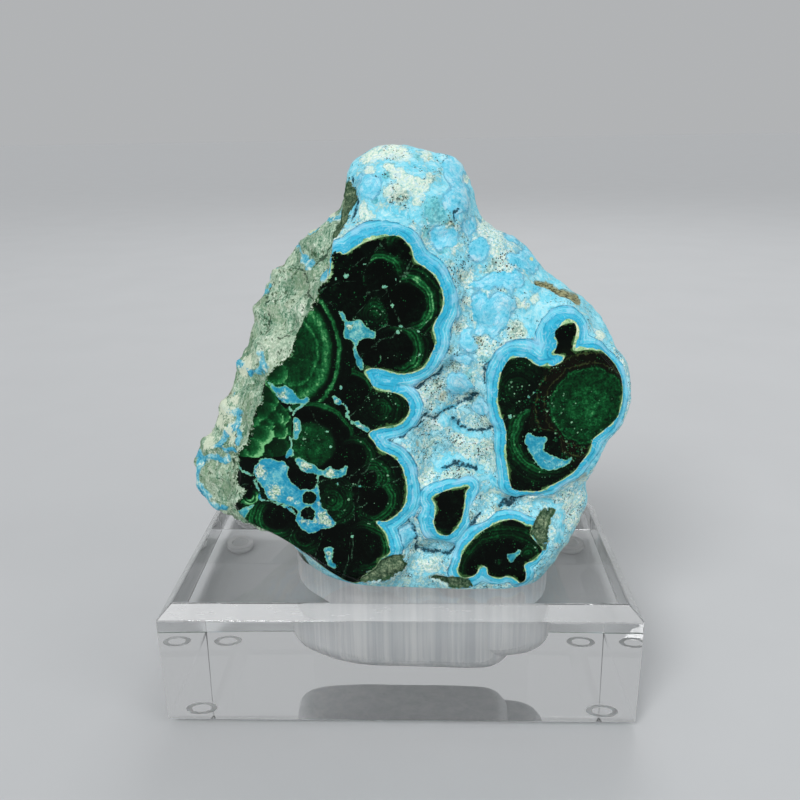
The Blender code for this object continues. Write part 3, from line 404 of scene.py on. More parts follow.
def line_distance(x, z, points):
    """Distance to the nearest part of an open line."""
    nearest = np.full(len(x), 99.0)
    for (ax, az), (bx, bz) in zip(points, points[1:]):
        ex, ez = bx - ax, bz - az
        t = np.clip(((x - ax) * ex + (z - az) * ez) / (ex * ex + ez * ez + 1e-9), 0, 1)
        nearest = np.minimum(nearest, np.hypot(x - ax - t * ex, z - az - t * ez))
    return nearest


def depth_inside(x, z, outline, reach=3.0):
    """Distance inside the smooth closed outline, negative outside, worked out only within its reach."""
    loop = closed_curve(outline)
    low, high = loop.min(0) - reach, loop.max(0) + reach
    near = (x > low[0]) & (x < high[0]) & (z > low[1]) & (z < high[1])
    px, pz = x[near], z[near]
    ring = np.vstack([loop, loop[:1]])
    inside = np.zeros(len(px), bool)
    for (ax, az), (bx, bz) in zip(ring, ring[1:]):
        if az != bz:
            inside ^= ((az > pz) != (bz > pz)) & (px < ax + (pz - az) * (bx - ax) / (bz - az))
    distance = line_distance(px, pz, ring)
    depth = np.full(len(x), -reach)
    depth[near] = np.clip(np.where(inside, distance, -distance), -reach, None)
    return depth


def deepest(outlines, x, z, reach=3.0):
    return np.max([depth_inside(x, z, outline, reach) for outline in outlines], axis=0)


def nearest_line(lines, x, z):
    return np.min([line_distance(x, z, line) for line in lines], axis=0)


def bands(lines, x, z, reach):
    """1 along each line, fading to 0 at its half width times the reach."""
    return np.max([smooth(reach - line_distance(x, z, line) / half) for line, half, *_ in lines], axis=0)


def oval_share(oval, x, z):
    """Share of the way out of an oval: 0 in its middle, 1 at its edge."""
    cx, cz, half_w, half_h = oval
    return np.hypot((x - cx) / half_w, (z - cz) / half_h)


def spot(x, z, cx, cz, radius):
    """1 in the middle of a round place, and about a seventh at its radius."""
    return np.exp(-2 * ((x - cx) ** 2 + (z - cz) ** 2) / radius**2)


def spots(x, z, places):
    return np.max([spot(x, z, *place) for place in places], axis=0)


def noise_at(points, size, octaves=3):
    return np.array([noise.fractal(Vector(p) / size, 1.0, 2.0, octaves) for p in points])


def face_plane(z):
    return FACE_Y_AT_RIM + FACE_LEAN * (z - BLOCK_TOP)


def lobe_fields(x, z):
    """Of the lobe that each point lies in: how far from its middle, how green, how speckled, how far
    from the seam with the next lobe, and the share of the way out."""
    count = len(x)
    share, second = np.full(count, 9.0), np.full(count, 9.0)
    ring, tone, specks = np.zeros(count), np.zeros(count), np.zeros(count)
    radius_here = np.ones(count)
    for cx, cz, radius, green, looks, black, speckled in LOBES:
        away = np.hypot(x - cx, z - cz)
        here = away / radius
        nearer = here < share
        second = np.where(nearer, share, np.minimum(second, here))
        side = np.cos(np.arctan2(z - cz, x - cx) - math.radians(looks))
        glow = smooth(0.5 + 0.62 * side) if black > 0 else 0.7 + 0.3 * side
        rise = smooth((here - black) / 0.16) if black > 0 else 1 - 0.35 * smooth((here - 0.25) / 0.3)
        fall = 1 - 0.85 * smooth((here - 0.88) / 0.16)
        outer = 0.4 * np.exp(-(((here - 1.13) / 0.05) ** 2)) + 0.25 * np.exp(-(((here - 0.98) / 0.03) ** 2))
        value = 1.35 * green * glow * (rise * fall + outer)
        share = np.where(nearer, here, share)
        tone = np.where(nearer, value, tone)
        ring = np.where(nearer, away, ring)
        specks = np.where(nearer, speckled * (1 - 0.7 * smooth((here - 0.75) / 0.4)), specks)
        radius_here = np.where(nearer, radius, radius_here)
    seam = (second - share) * radius_here
    return ring, tone, specks, seam, share


def great_lobe(x, z, share_so_far):
    """Where the great lobe wins over the smaller ones, with its ring distance and greenness."""
    cx, cz, radius = MIDDLE_LOBE
    away = np.hypot(x - cx, z - cz)
    here = away / radius
    side = np.cos(np.arctan2(z - cz, x - cx) - math.radians(60))
    disc = 0.36 * (1 - smooth((here - 0.43) / 0.1))
    bright = (0.42 + 0.3 * side) * np.exp(-(((here - 0.85) / 0.05) ** 2))
    wins = here < share_so_far * 0.92
    ring = np.where(here < 0.6, 0.3, away)
    return wins, ring, disc + bright + 0.06 * smooth((here - 0.95) / 0.05)


def scale_edges(x, z):
    """Distance inside the uppermost scale's edge, and that scale's brightness with a painted lit side,
    lighter to the lower right.
    """
    edge, bright = np.full(len(x), 2.0), np.full(len(x), 0.3)
    for cx, cz, radius, value in [*SCALES, FAN_SCALE]:
        away = np.hypot(x - cx, z - cz)
        on = away < radius
        # Painted light: each scale is drawn lighter towards its lower right and darker towards its upper
        # left.
        painted_lit_side = smooth(0.5 + 0.5 * ((x - cx) * 0.82 - (z - cz) * 0.57) / radius)
        edge = np.where(on, radius - away, edge)
        bright = np.where(on, value * (0.3 + 0.7 * painted_lit_side), bright)
    return edge, bright


def rim_width(x, z):
    width = np.full(len(x), RIM_WIDTH)
    for cx, cz, radius, change in RIM_CHANGES:
        width = width + change * spot(x, z, cx, cz, radius)
    return np.clip(width, 0.8, None)


def front_share(points, normals, broad):
    """How surely a vertex belongs to the finished front, its rounded edges and the whole top lobe."""
    x, y, z = points.T
    behind = y - face_plane(z)
    by_slope = smooth((-normals[:, 1] + 0.15) / 0.45) * smooth((18 - behind) / 12)
    wraps_to = 14 + 7 * smooth((z - 50) / 25) + 6 * smooth((z - 105) / 8) + 3 * broad
    wraps = smooth((wraps_to - behind) / 3) * smooth((x + 13) / 3)
    return np.maximum(by_slope, wraps)


def inlay_fields(x, z, ragged):
    """Depth inside the nearest inlay, vein or bead, and how blue that inlay is."""
    inlay, blueness = np.full(len(x), -3.0), np.zeros(len(x))
    for outline, blue in INLAYS:
        depth = depth_inside(x, z, outline)
        better = depth > inlay
        inlay = np.where(better, depth, inlay)
        blueness = np.where(better, blue, blueness)
    for cx, cz, radius in ISLANDS:
        inlay = np.minimum(inlay, np.hypot(x - cx, z - cz) - radius)
    for vein in VEINS:
        inlay = np.maximum(inlay, VEIN_HALF_WIDTH + 0.2 * ragged - line_distance(x, z, vein))
    for cx, cz, radius in BEADS:
        inlay = np.maximum(inlay, radius - np.hypot(x - cx, z - cz))
    return inlay, blueness


def surface_fields(points, normals):
    """Every field that the stone's finish reads, one value a vertex."""
    x, y, z = points.T
    behind = y - face_plane(z)
    wobble, lift = noise_at(points, 3.0), noise_at(points + 40, 3.0)
    ragged, ragged_up = noise_at(points + 80, 1.3, 2), noise_at(points + 120, 1.3, 2)
    broad = noise_at(points, 11.0)

    def moved(coarse, small):
        """The points, pushed aside by noise so that no line drawn on them runs smooth."""
        return x + coarse * wobble + small * ragged, z + coarse * lift + small * ragged_up

    wx, wz = moved(0.12, 0.05)
    leaves_plane = 1.4 * np.clip(behind - 0.7, 0, None)
    pane = deepest(WINDOWS, wx, wz, RIM_REACH) - leaves_plane
    outside = np.clip(-pane, 0, None)
    ix, iz = moved(0.15, 0.32)
    inlay, blueness = inlay_fields(ix, iz, ragged)
    hair = nearest_line(HAIRLINES, ix + 0.25 * wobble, iz + 0.25 * lift)

    lx, lz = moved(0.35, 0.1)
    ring, tone, specks, seam, share = lobe_fields(lx, lz)
    wins, great_ring, value = great_lobe(lx, lz, share)
    in_great = wins & (x < -6) & (z < 77.5) & (z > 57)
    ring, tone = np.where(in_great, great_ring, ring), np.where(in_great, value, tone)
    specks, seam = np.where(in_great, 0.25, specks), np.where(in_great, 2.0, seam)

    disc = oval_share(GREEN_DISC, x, z) + 0.02 * wobble
    disc = disc + 1.3 * smooth((71 - z) / 3) * smooth((37 - x) / 3)
    disc = disc + 1.3 * smooth((29.8 + 0.27 * (z - 75) + 0.5 * wobble - x) / 1.4)
    in_disc = (x > 26) & (z > 62) & (pane > -0.5)
    fan = oval_share(FAN, x, z) + 0.025 * wobble
    in_fan = (x < -9.5) & (z > 76.8) & (z < 104) & (fan < 1.32)
    bx, bz = moved(0.25, 0.12)
    patch = depth_inside(bx, bz, SCALES_PATCH)
    patch = np.maximum(patch, FAN_SCALE[2] - np.hypot(bx - FAN_SCALE[0], bz - FAN_SCALE[1]))
    edge, bright = scale_edges(bx, bz)

    broken = depth_inside(*moved(0, 0.3), BROKEN_SIDE, 4.0)
    near_front = smooth((22 - behind) / 6)
    mx, mz = moved(0.9, 0.35)
    ridge = np.max([half - line_distance(mx, mz, line) for line, half in RIDGES], axis=0)
    ridge = np.where(near_front > 0.3, ridge, -3)
    cell = deepest(CELL_OUTLINES, mx, mz)
    for oval in CELL_SPOTS:
        here = (1 - oval_share(oval, mx, mz)) * min(oval[2:])
        cell = np.maximum(cell, np.clip(here, -3, None))
    cream = smooth((deepest(CREAM_OUTLINES, mx, mz) + 0.9) / 1.8)
    cream = np.maximum(spots(mx, mz, CREAM_SPOTS), cream)
    cream = np.maximum(cream, spots(wx, wz, CREAM_EYES + CELL_EYES)) * near_front
    pits = [grey * spot(mx, mz, cx, cz, radius) for cx, cz, radius, grey in SPECKLED_SPOTS]
    tx, tz = moved(0.45, 0.4)
    side_crack = bands(SIDE_CRACKS, tx, tz, 1.15) * near_front

    dome, shoulder = smooth((z - 113) / 5), smooth((z - 87) / 6) * smooth((x - 8) / 4)
    valley = smooth((86 - z) / 5) * smooth((24 - x) / 3) * smooth((z - 56) / 4)
    by_slit = smooth((x - 27) / 3) * smooth((z - 87) / 4)
    veins = bands(BLUE_VEINS, mx, mz, 1.25)
    blue = 0.38 + 0.32 * dome + 0.05 * shoulder + 0.2 * by_slit - 0.10 * valley + 0.5 * veins + 0.1 * broad

    return {
        "pane": pane,
        "inlay": inlay,
        "inlay_blue": blueness,
        "inlay_pale": spots(ix, iz, PALE_PLACES + BEADS),
        "hair": np.clip(hair, 0, 2),
        "contact": outside - 0.6 * spots(wx, wz, CONTACT_PLACES),
        "ring": ring,
        "tone": tone,
        "specks": specks,
        "seam": seam,
        "disc": np.where(in_disc, np.minimum(disc, 2.0), 2.0),
        "fan": np.where(in_fan, fan, 2.0),
        "scales": patch,
        "scale_edge": edge,
        "scale_tone_and_painted_light": bright,
        "rim": outside,
        "rim_share": outside / rim_width(x, z),
        "broken": broken,
        "grey": deepest(GREY_PATCHES, wx, wz),
        "ridge": np.clip(ridge, -3, None),
        "cell": np.clip(cell, -3, None),
        "cream": cream,
        "teal": spots(mx, mz, TEAL_SPOTS),
        "tan": spots(mx, mz, TAN_SPOTS),
        "pits": np.max(pits, axis=0),
        "arcs": np.clip(nearest_line(PALE_ARCS, mx, mz), 0, 2),
        "crack_and_painted_shade": np.maximum(bands(CRACKS, tx, tz, 1.15), side_crack),
        "slit": 0.62 - line_distance(wx, wz, OLIVE_SLIT),
        "blue": blue,
        "front": front_share(points, normals, broad),
    }


# ---------------------------------------------------------------- making pieces

WELD_DISTANCE = 0.01


def select_only(obj):
    bpy.ops.object.select_all(action="DESELECT")
    obj.select_set(True)
    bpy.context.view_layer.objects.active = obj


def add_object(name, data):
    obj = bpy.data.objects.new(name, data)
    bpy.context.scene.collection.objects.link(obj)
    return obj


def weld(obj, turn_out=True):
    """Joins the vertices that lie on each other and turns the faces outwards."""
    select_only(obj)
    bpy.ops.object.mode_set(mode="EDIT")
    bpy.ops.mesh.select_all(action="SELECT")
    bpy.ops.mesh.remove_doubles(threshold=WELD_DISTANCE * MM)
    if turn_out:
        bpy.ops.mesh.normals_make_consistent(inside=False)
    bpy.ops.object.mode_set(mode="OBJECT")


def apply_modifier(obj, kind, **settings):
    select_only(obj)
    step = obj.modifiers.new(kind.lower(), kind)
    for name, value in settings.items():
        setattr(step, name, value)
    bpy.ops.object.modifier_apply(modifier=step.name)


def vectors_of(parts, name):
    """One x, y, z row for each vertex or face."""
    values = np.empty(len(parts) * 3, np.float32)
    parts.foreach_get(name, values)
    return values.reshape(-1, 3)


def move_vertices(obj, points):
    obj.data.vertices.foreach_set("co", (points * MM).astype(np.float32).ravel())
    obj.data.update()


def add_field(mesh, name, values):
    made = mesh.attributes.new(name, "FLOAT", "POINT")
    made.data.foreach_set("value", np.asarray(values, np.float32))


VOXEL = 0.8
SMOOTHING_FACTOR, SMOOTHING_PASSES = 0.5, 5
# Faces that look this much forward, and lie this near the polished plane, are made twice as fine
FINE_FACE_FROM, FINE_DEPTH = 0.32, 5.0


def stone_form():
    """A close, even mesh of the stone's solid, twice as fine on the front."""
    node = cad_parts["malachite_stone"]
    stone = add_object("polished_stone", node.data.copy())
    stone.data.materials.clear()
    weld(stone, turn_out=False)
    apply_modifier(stone, "REMESH", mode="VOXEL", voxel_size=VOXEL * MM)
    apply_modifier(stone, "SMOOTH", factor=SMOOTHING_FACTOR, iterations=SMOOTHING_PASSES)
    faces = stone.data.polygons
    _, y, z = vectors_of(faces, "center").T / MM
    near = y - face_plane(z) < FINE_DEPTH
    looks_front = -vectors_of(faces, "normal")[:, 1] > FINE_FACE_FROM
    faces.foreach_set("select", near & looks_front)
    select_only(stone)
    bpy.ops.object.mode_set(mode="EDIT")
    bpy.ops.mesh.subdivide(number_cuts=1, smoothness=0)
    bpy.ops.object.mode_set(mode="OBJECT")
    return stone


def flatten_windows(points):
    """Puts the polished windows exactly on their plane."""
    x, y, z = points.T
    pane = deepest(WINDOWS, x, z, 4.0)
    behind = y - face_plane(z)
    hold = smooth((pane + 1.8) / 1.2) * smooth((0.8 - np.abs(behind)) / 0.4)
    points[:, 1] = y - hold * behind
    return points


def facets(points, size, depth):
    """Flat breaks that meet in sharp edges, turned so that none lies along an axis."""
    turned = points @ np.array([[0.8, -0.36, 0.48], [0.6, 0.48, -0.64], [0, 0.8, 0.6]])
    reach = [noise.voronoi(Vector(p) / size, distance_metric="MANHATTAN")[0][0] for p in turned]
    return depth * (0.55 - np.array(reach))


# Heights of the stone's relief
CELL_HEIGHT, RIDGE_HEIGHT = 0.32, 0.45
SLIT_DEPTH, GREY_DEPTH = 0.8, 0.35
SCALES_DEPTH, SCALE_EDGE_DEPTH = 0.10, 0.22


def relief(points, fields):
    """How far each vertex stands out, in millimetres: lumps, fibres, cracks, ridges and scales."""
    x, _, z = points.T
    front, back = fields["front"], 1 - fields["front"]
    clear_of_pocket = smooth((z - BLOCK_TOP - 0.5) / 4)
    on_window = smooth((fields["pane"] + 1.2) / 1.2)
    off_window = 1 - on_window
    broken = smooth(0.5 + fields["broken"] / 1.5) * off_window
    lumps = np.array([noise.turbulence(Vector(p) / 3.4, 3, False) for p in points]) - 0.45
    fine = noise_at(points, 1.6, 2)
    slanted = points @ np.array([[0.9, 0, -0.5], [0, 1, 0], [0.35, 0, 0.25]])
    fibres = np.array([noise.ridged_multi_fractal(Vector(p) / 4.0, 0.8, 2.1, 3, 1.0, 2.0) for p in slanted])
    height = off_window * (0.35 * lumps * (1 - broken) + 0.05 * fine)
    breaks = facets(points, 9.5, 2.0) + facets(points + 50, 4.0, 0.8)
    height += np.maximum(broken, back) * (breaks + 0.14 * (fibres - 1.1) + 0.10 * fine)
    height *= clear_of_pocket
    height += CELL_HEIGHT * smooth(fields["cell"] / 1.6 + 0.2) * front * off_window * clear_of_pocket
    for line, half, deep in CRACKS + SIDE_CRACKS:
        gap = line_distance(x, z, line) / (half * 1.2)
        height -= deep * np.exp(-gap * gap) * front * off_window
    height += RIDGE_HEIGHT * smooth(fields["ridge"] / 0.8 + 0.3) * broken * front
    scaly = smooth(fields["scales"] / 0.4) * smooth(fields["pane"] / 0.3)
    height -= scaly * (SCALES_DEPTH + SCALE_EDGE_DEPTH * smooth(fields["scale_edge"] / 1.6))
    height += smooth(fields["grey"] / 0.5) * front * (0.3 * lumps - GREY_DEPTH)
    return height - SLIT_DEPTH * (smooth(fields["slit"] / 0.6) * front)


def build_stone():
    stone = stone_form()
    points = flatten_windows(vectors_of(stone.data.vertices, "co").astype(float) / MM)
    move_vertices(stone, points)
    normals = vectors_of(stone.data.vertices, "normal").astype(float)
    fields = surface_fields(points, normals)
    points = points + normals * relief(points, fields)[:, None]
    low, high = (np.array(corner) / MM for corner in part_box("malachite_stone"))
    move_vertices(stone, np.clip(points, low, high))
    for name, values in fields.items():
        add_field(stone.data, name, values)
    select_only(stone)
    bpy.ops.object.shade_smooth()
    stone.data.materials.append(stone_finish())
    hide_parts("malachite_stone")
    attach(stone, "root")


# ---------------------------------------------------------------- finishes

def linear(red, green, blue):
    """An opaque colour given as the shares of light that shaders take."""
    return (red, green, blue, 1.0)


def tint(red, green, blue):
    """An opaque colour given as 0 to 255 on screen, by the sRGB curve."""
    def light(value):
        value /= 255
        return value / 12.92 if value <= 0.04045 else ((value + 0.055) / 1.055) ** 2.4
    return linear(light(red), light(green), light(blue))


def tints(*stops):
    """Ramp stops given as place, red, green, blue."""
    return [(place, tint(*colour)) for place, *colour in stops]


def greys(*levels):
    """Ramp stops of plain grey: place, level."""
    return [(place, linear(level, level, level)) for place, level in levels]


WHITE = linear(1.0, 1.0, 1.0)


class Value:
    """A node's output that takes part in sums and products. Each adds its own Math node."""

    def __init__(self, finish, socket):
        self.finish, self.socket = finish, socket

    def __add__(self, other):
        return self.finish.math("ADD", self, other)

    def __radd__(self, other):
        return self.finish.math("ADD", other, self)

    def __sub__(self, other):
        return self.finish.math("SUBTRACT", self, other)

    def __rsub__(self, other):
        return self.finish.math("SUBTRACT", other, self)

    def __mul__(self, other):
        return self.finish.math("MULTIPLY", self, other)

    def __truediv__(self, other):
        return self.finish.math("DIVIDE", self, other)

    def swing(self, amount, middle=0.5):
        """How far the value is from the middle, times the amount."""
        return (self - middle) * amount

    def ease(self, low, high):
        """0 at the low end and 1 at the high end, smooth between. The ends may be swapped."""
        node = self.finish.add("MapRange", interpolation_type="SMOOTHSTEP")
        self.finish.plug(node.inputs["Value"], self)
        self.finish.plug(node.inputs["From Min"], low)
        self.finish.plug(node.inputs["From Max"], high)
        return Value(self.finish, node.outputs["Result"])

    def wave(self, pitch, shift=0.0):
        """A sine of the value, 0 to 1, that repeats every pitch."""
        return self.finish.math("SINE", self * (math.tau / pitch) + shift) * 0.5 + 0.5


class Finish:
    """A material with one Principled shader, and short ways to add the nodes that feed it."""

    def __init__(self, name, **constants):
        self.material = bpy.data.materials.new(name)
        self.material.use_nodes = True
        self.tree = self.material.node_tree
        self.shader = self.tree.nodes["Principled BSDF"]
        for socket, value in constants.items():
            self.shader.inputs[socket.replace("_", " ")].default_value = value

    def add(self, kind, **settings):
        node = self.tree.nodes.new("ShaderNode" + kind)
        for name, value in settings.items():
            setattr(node, name, value)
        return node

    def plug(self, socket, value):
        """Links a value to the socket or sets a constant on it. None leaves it as it is."""
        if isinstance(value, Value):
            self.tree.links.new(value.socket, socket)
        elif value is not None:
            socket.default_value = value

    def feed(self, socket, value):
        self.plug(self.shader.inputs[socket], value)

    def field(self, name):
        return Value(self, self.add("Attribute", attribute_name=name).outputs["Fac"])

    def place(self, stretch=(1, 1, 1), turn=(0, 0, 0)):
        """The surface's place in millimetres, squeezed along each axis and then turned."""
        mapping = self.add("Mapping", vector_type="POINT")
        self.tree.links.new(self.add("TexCoord").outputs["Object"], mapping.inputs["Vector"])
        mapping.inputs["Rotation"].default_value = [math.radians(angle) for angle in turn]
        mapping.inputs["Scale"].default_value = [share / MM for share in stretch]
        return Value(self, mapping.outputs["Vector"])

    def math(self, operation, a, b=None):
        node = self.add("Math", operation=operation)
        self.plug(node.inputs[0], a)
        self.plug(node.inputs[1], b)
        return Value(self, node.outputs[0])

    def larger(self, a, b):
        return self.math("MAXIMUM", a, b)

    def noise(self, place, size, detail=3.0, rough=0.55, twist=0.0):
        node = self.add("TexNoise")
        self.plug(node.inputs["Vector"], place)
        settings = {"Scale": 1 / size, "Detail": detail, "Roughness": rough, "Distortion": twist}
        for name, value in settings.items():
            node.inputs[name].default_value = value
        return Value(self, node.outputs["Fac"])

    def cells(self, place, size):
        """Distance to the middle of the cell, in cells, and one random value a cell."""
        node = self.add("TexVoronoi")
        self.plug(node.inputs["Vector"], place)
        node.inputs["Scale"].default_value = 1 / size
        return Value(self, node.outputs["Distance"]), Value(self, node.outputs["Color"])

    def mix(self, share, a, b):
        """Colour a where the share is 0, colour b where it is 1."""
        node = self.add("Mix", data_type="RGBA")
        for socket, value in ((0, share), (6, a), (7, b)):
            self.plug(node.inputs[socket], value)
        return Value(self, node.outputs[2])

    def blend(self, share, a, b):
        """As mix, for plain numbers."""
        node = self.add("Mix", data_type="FLOAT")
        for socket, value in ((0, share), (2, a), (3, b)):
            self.plug(node.inputs[socket], value)
        return Value(self, node.outputs[0])

    def ramp(self, value, stops, smooth_steps=True):
        node = self.add("ValToRGB")
        ramp = node.color_ramp
        ramp.interpolation = "EASE" if smooth_steps else "LINEAR"
        while len(ramp.elements) < len(stops):
            ramp.elements.new(0.5)
        for element, (position, colour) in zip(ramp.elements, stops):
            element.position = position
            element.color = colour
        self.plug(node.inputs["Fac"], value)
        return Value(self, node.outputs["Color"])

    def bump(self, height, depth, strength):
        """Shades the surface as if it rose by the height times the depth, which is in millimetres."""
        node = self.add("Bump")
        node.inputs["Strength"].default_value = strength
        node.inputs["Distance"].default_value = depth * MM
        self.plug(node.inputs["Height"], height)
        self.feed("Normal", Value(self, node.outputs["Normal"]))


MALACHITE = tints(
    (0.0, 1, 4, 2), (0.14, 3, 14, 7), (0.32, 5, 36, 16), (0.52, 9, 68, 32), (0.74, 34, 112, 60),
    (1.0, 120, 190, 128),
)
# How light the bands are, from the middle of the fan and of the disc outwards
FAN_LEVELS = greys(
    (0.0, 0.34), (0.36, 0.46), (0.40, 0.78), (0.43, 0.44), (0.49, 0.60), (0.55, 0.86), (0.60, 0.62),
    (0.645, 0.16), (0.69, 0.12), (0.715, 0.80), (0.75, 0.70), (0.775, 0.14), (0.83, 0.05), (0.87, 0.12),
    (0.90, 0.04), (1.0, 0.05),
)
DISC_LEVELS = greys(
    (0.0, 0.50), (0.10, 0.66), (0.16, 0.50), (0.22, 0.60), (0.30, 0.42), (0.40, 0.46), (0.455, 0.40),
    (0.475, 0.70), (0.50, 0.22), (0.53, 0.08), (0.66, 0.05), (0.685, 0.30), (0.70, 0.05), (0.74, 0.16),
    (0.79, 0.06), (1.0, 0.05),
)
# The share of the way out that the end of those ramps stands for
FIELD_SPAN = 1.4


def malachite_colour(f, place, fine, patch):
    """Near-black green with lighter bands round each lobe, the fan, the disc and the scales, with painted
    shade and highlights on the scales.
    """
    ring, tone = f.field("ring"), f.field("tone")
    bent = ring + patch.swing(0.7) + fine.swing(0.12)
    lines = bent.wave(0.74)
    broad = bent.wave(1.9, 1.0)
    mottle = f.noise(place, 1.1, 4, 0.7)
    sparkle = f.noise(place, 0.42, 2, 0.6)
    level = tone * (0.4 + lines * 0.44 + broad * 0.34 + mottle.swing(0.7))
    level = level * (1.0 + sparkle.swing(0.8))
    haze = f.noise(place, 5.0, 4, 0.7).ease(0.42, 0.66) * mottle.ease(0.36, 0.7)
    level = level + haze * 0.26

    fan = f.field("fan") + fine.swing(0.06) + patch.swing(0.1)
    streaks = f.noise(f.place((1, 1, 0.25)), 0.9, 2)
    fan_level = f.ramp(fan / FIELD_SPAN, FAN_LEVELS, False)
    fan_level = fan_level * (0.62 + streaks.swing(0.9, 0.3) + mottle.swing(1.1, 0.42))
    fan_level = fan_level * (1.0 + sparkle.swing(0.8))
    level = f.blend(fan.ease(1.36, 1.3), level, fan_level)

    disc = f.field("disc") + fine.swing(0.1) + patch.swing(0.16)
    disc_level = f.ramp(disc / FIELD_SPAN, DISC_LEVELS, False)
    disc_level = disc_level * (0.46 + mottle.swing(2.0, 0.3) + sparkle.swing(0.9))
    level = f.blend(disc.ease(1.3, 1.22), level, disc_level)

    edge = f.field("scale_edge")
    # Painted light on the scales: painted shade in each sunken middle, a painted lit lower-right side and a
    # painted highlight along each edge.
    scale_shell_and_painted_light = edge.ease(1.6, 0.2) * 0.26 + 0.55
    scale_shell_and_painted_light = scale_shell_and_painted_light * f.field("scale_tone_and_painted_light") * (1.0 + mottle.swing(1.4) + sparkle.swing(0.6))
    scale_shell_and_painted_light = scale_shell_and_painted_light + edge.ease(0.3, 0.05) * f.field("scale_tone_and_painted_light") * 0.38 + 0.1
    level = f.blend(f.field("scales").ease(0.0, 0.25), level, scale_shell_and_painted_light)

    level = level + fine.swing(0.08)
    colour = f.ramp(level, MALACHITE, False)
    brown = disc.ease(0.66, 0.75) * disc.ease(1.2, 0.9) * patch.ease(0.3, 0.6) * 0.7
    colour = f.mix(brown, colour, tint(18, 15, 8))
    olive = disc.wave(0.16, 2.75).ease(0.9, 1.0) * disc.ease(0.7, 0.8) * disc.ease(1.1, 1.0)
    colour = f.mix(olive * mottle.ease(0.36, 0.62) * 0.6, colour, tint(70, 84, 46))

    gap, luck = f.cells(place, 0.52)
    plain = fan.ease(1.0, 1.3) * disc.ease(0.9, 1.3)
    beads = broad.ease(0.5, 0.9) * tone.ease(0.08, 0.3) * plain * 0.8
    chance = f.field("specks") + f.field("seam").ease(0.9, 0.2) * 0.9 * plain + beads
    on_disc = disc.ease(1.2, 1.0) * (disc.ease(0.34, 0.24) + disc.ease(0.4, 0.46)) * 0.5
    chance = chance + on_disc
    size = chance * f.noise(place, 1.8, 3).ease(0.36, 0.6) * 0.5
    size = size * luck.ease(0.1, 0.95)
    speck = (size - gap).ease(-0.04, 0.18)
    rare = luck.ease(0.7, 0.86) * patch.ease(0.46, 0.58)
    colour = f.mix(speck * 0.7, colour, f.mix(rare, tint(18, 90, 50), tint(150, 204, 164)))
    gap, luck = f.cells(place, 0.42)
    fleck = luck.ease(0.45, 0.95) * mottle.ease(0.42, 0.6) * 0.5
    fleck = (fleck - gap).ease(0.0, 0.15)
    colour = f.mix(fleck * 0.55, colour, tint(34, 116, 62))
    hair = (f.field("hair") + fine.swing(0.3)).ease(0.22, 0.02) * 0.85
    seam = f.larger(f.field("seam").ease(0.22, 0.05) * 0.7 * plain, hair)
    faint = seam * patch.ease(0.34, 0.58) * sparkle.ease(0.34, 0.58) * 0.6
    colour = f.mix(faint, colour, tint(96, 150, 116))
    skin = (f.field("pane") + patch.swing(2.6) + fine.swing(1.6)).ease(0.3, 0.0) * 0.7
    return f.mix(skin, colour, f.mix(mottle, tint(4, 30, 14), tint(90, 140, 80)))


def inlay_colour(f, place, fine, patch):
    """Teal to blue chrysocolla with a pale edge, and cream in the middle of the largest."""
    depth = f.field("inlay") + fine.swing(0.25)
    mottle = f.noise(place, 0.9, 4, 0.65)
    body = mottle * 0.55 + patch * 0.45 + depth.ease(0.2, 1.6) * 0.07
    teal = f.ramp(body, tints((0.36, 24, 110, 120), (0.5, 58, 158, 166), (0.64, 150, 214, 198)))
    blue = f.ramp(body, tints((0.32, 14, 106, 148), (0.5, 36, 148, 184), (0.74, 112, 198, 210)))
    colour = f.mix(f.field("inlay_blue"), teal, blue)
    inner = (f.field("inlay_pale") + patch.swing(1.6) + mottle.swing(2.2)).ease(0.25, 0.75)
    speckle = f.noise(place, 0.5, 2, 0.7)
    pale_inner = f.ramp(speckle, tints(
        (0.36, 92, 128, 96), (0.46, 160, 196, 168), (0.54, 206, 222, 188), (0.64, 240, 244, 228),
    ))
    colour = f.mix(inner * depth.ease(0.05, 0.5) * 0.9, colour, pale_inner)
    ring = depth.wave(0.5).ease(0.7, 1.0) * patch.ease(0.56, 0.42)
    colour = f.mix(ring * 0.3, colour, tint(16, 96, 140))
    gap, luck = f.cells(place, 0.6)
    grit = (luck.ease(0.55, 0.95) * 0.42 - gap).ease(-0.02, 0.12)
    grit_colour = f.mix(patch.ease(0.44, 0.54), tint(24, 74, 66), tint(232, 244, 236))
    colour = f.mix(grit * depth.ease(0.3, 0.8) * 0.5, colour, grit_colour)
    pale = depth.ease(0.3, 0.08) * patch.ease(0.32, 0.48) * 0.85
    return f.mix(pale, colour, f.mix(fine, tint(70, 150, 110), tint(160, 220, 176)))


RIM_LEVELS = tints(
    (0.0, 52, 170, 180), (0.10, 40, 168, 204), (0.26, 60, 186, 218), (0.40, 48, 174, 210),
    (0.55, 80, 200, 226), (0.72, 112, 210, 232), (0.86, 84, 194, 222), (0.96, 48, 150, 184),
    (1.0, 22, 92, 120),
)


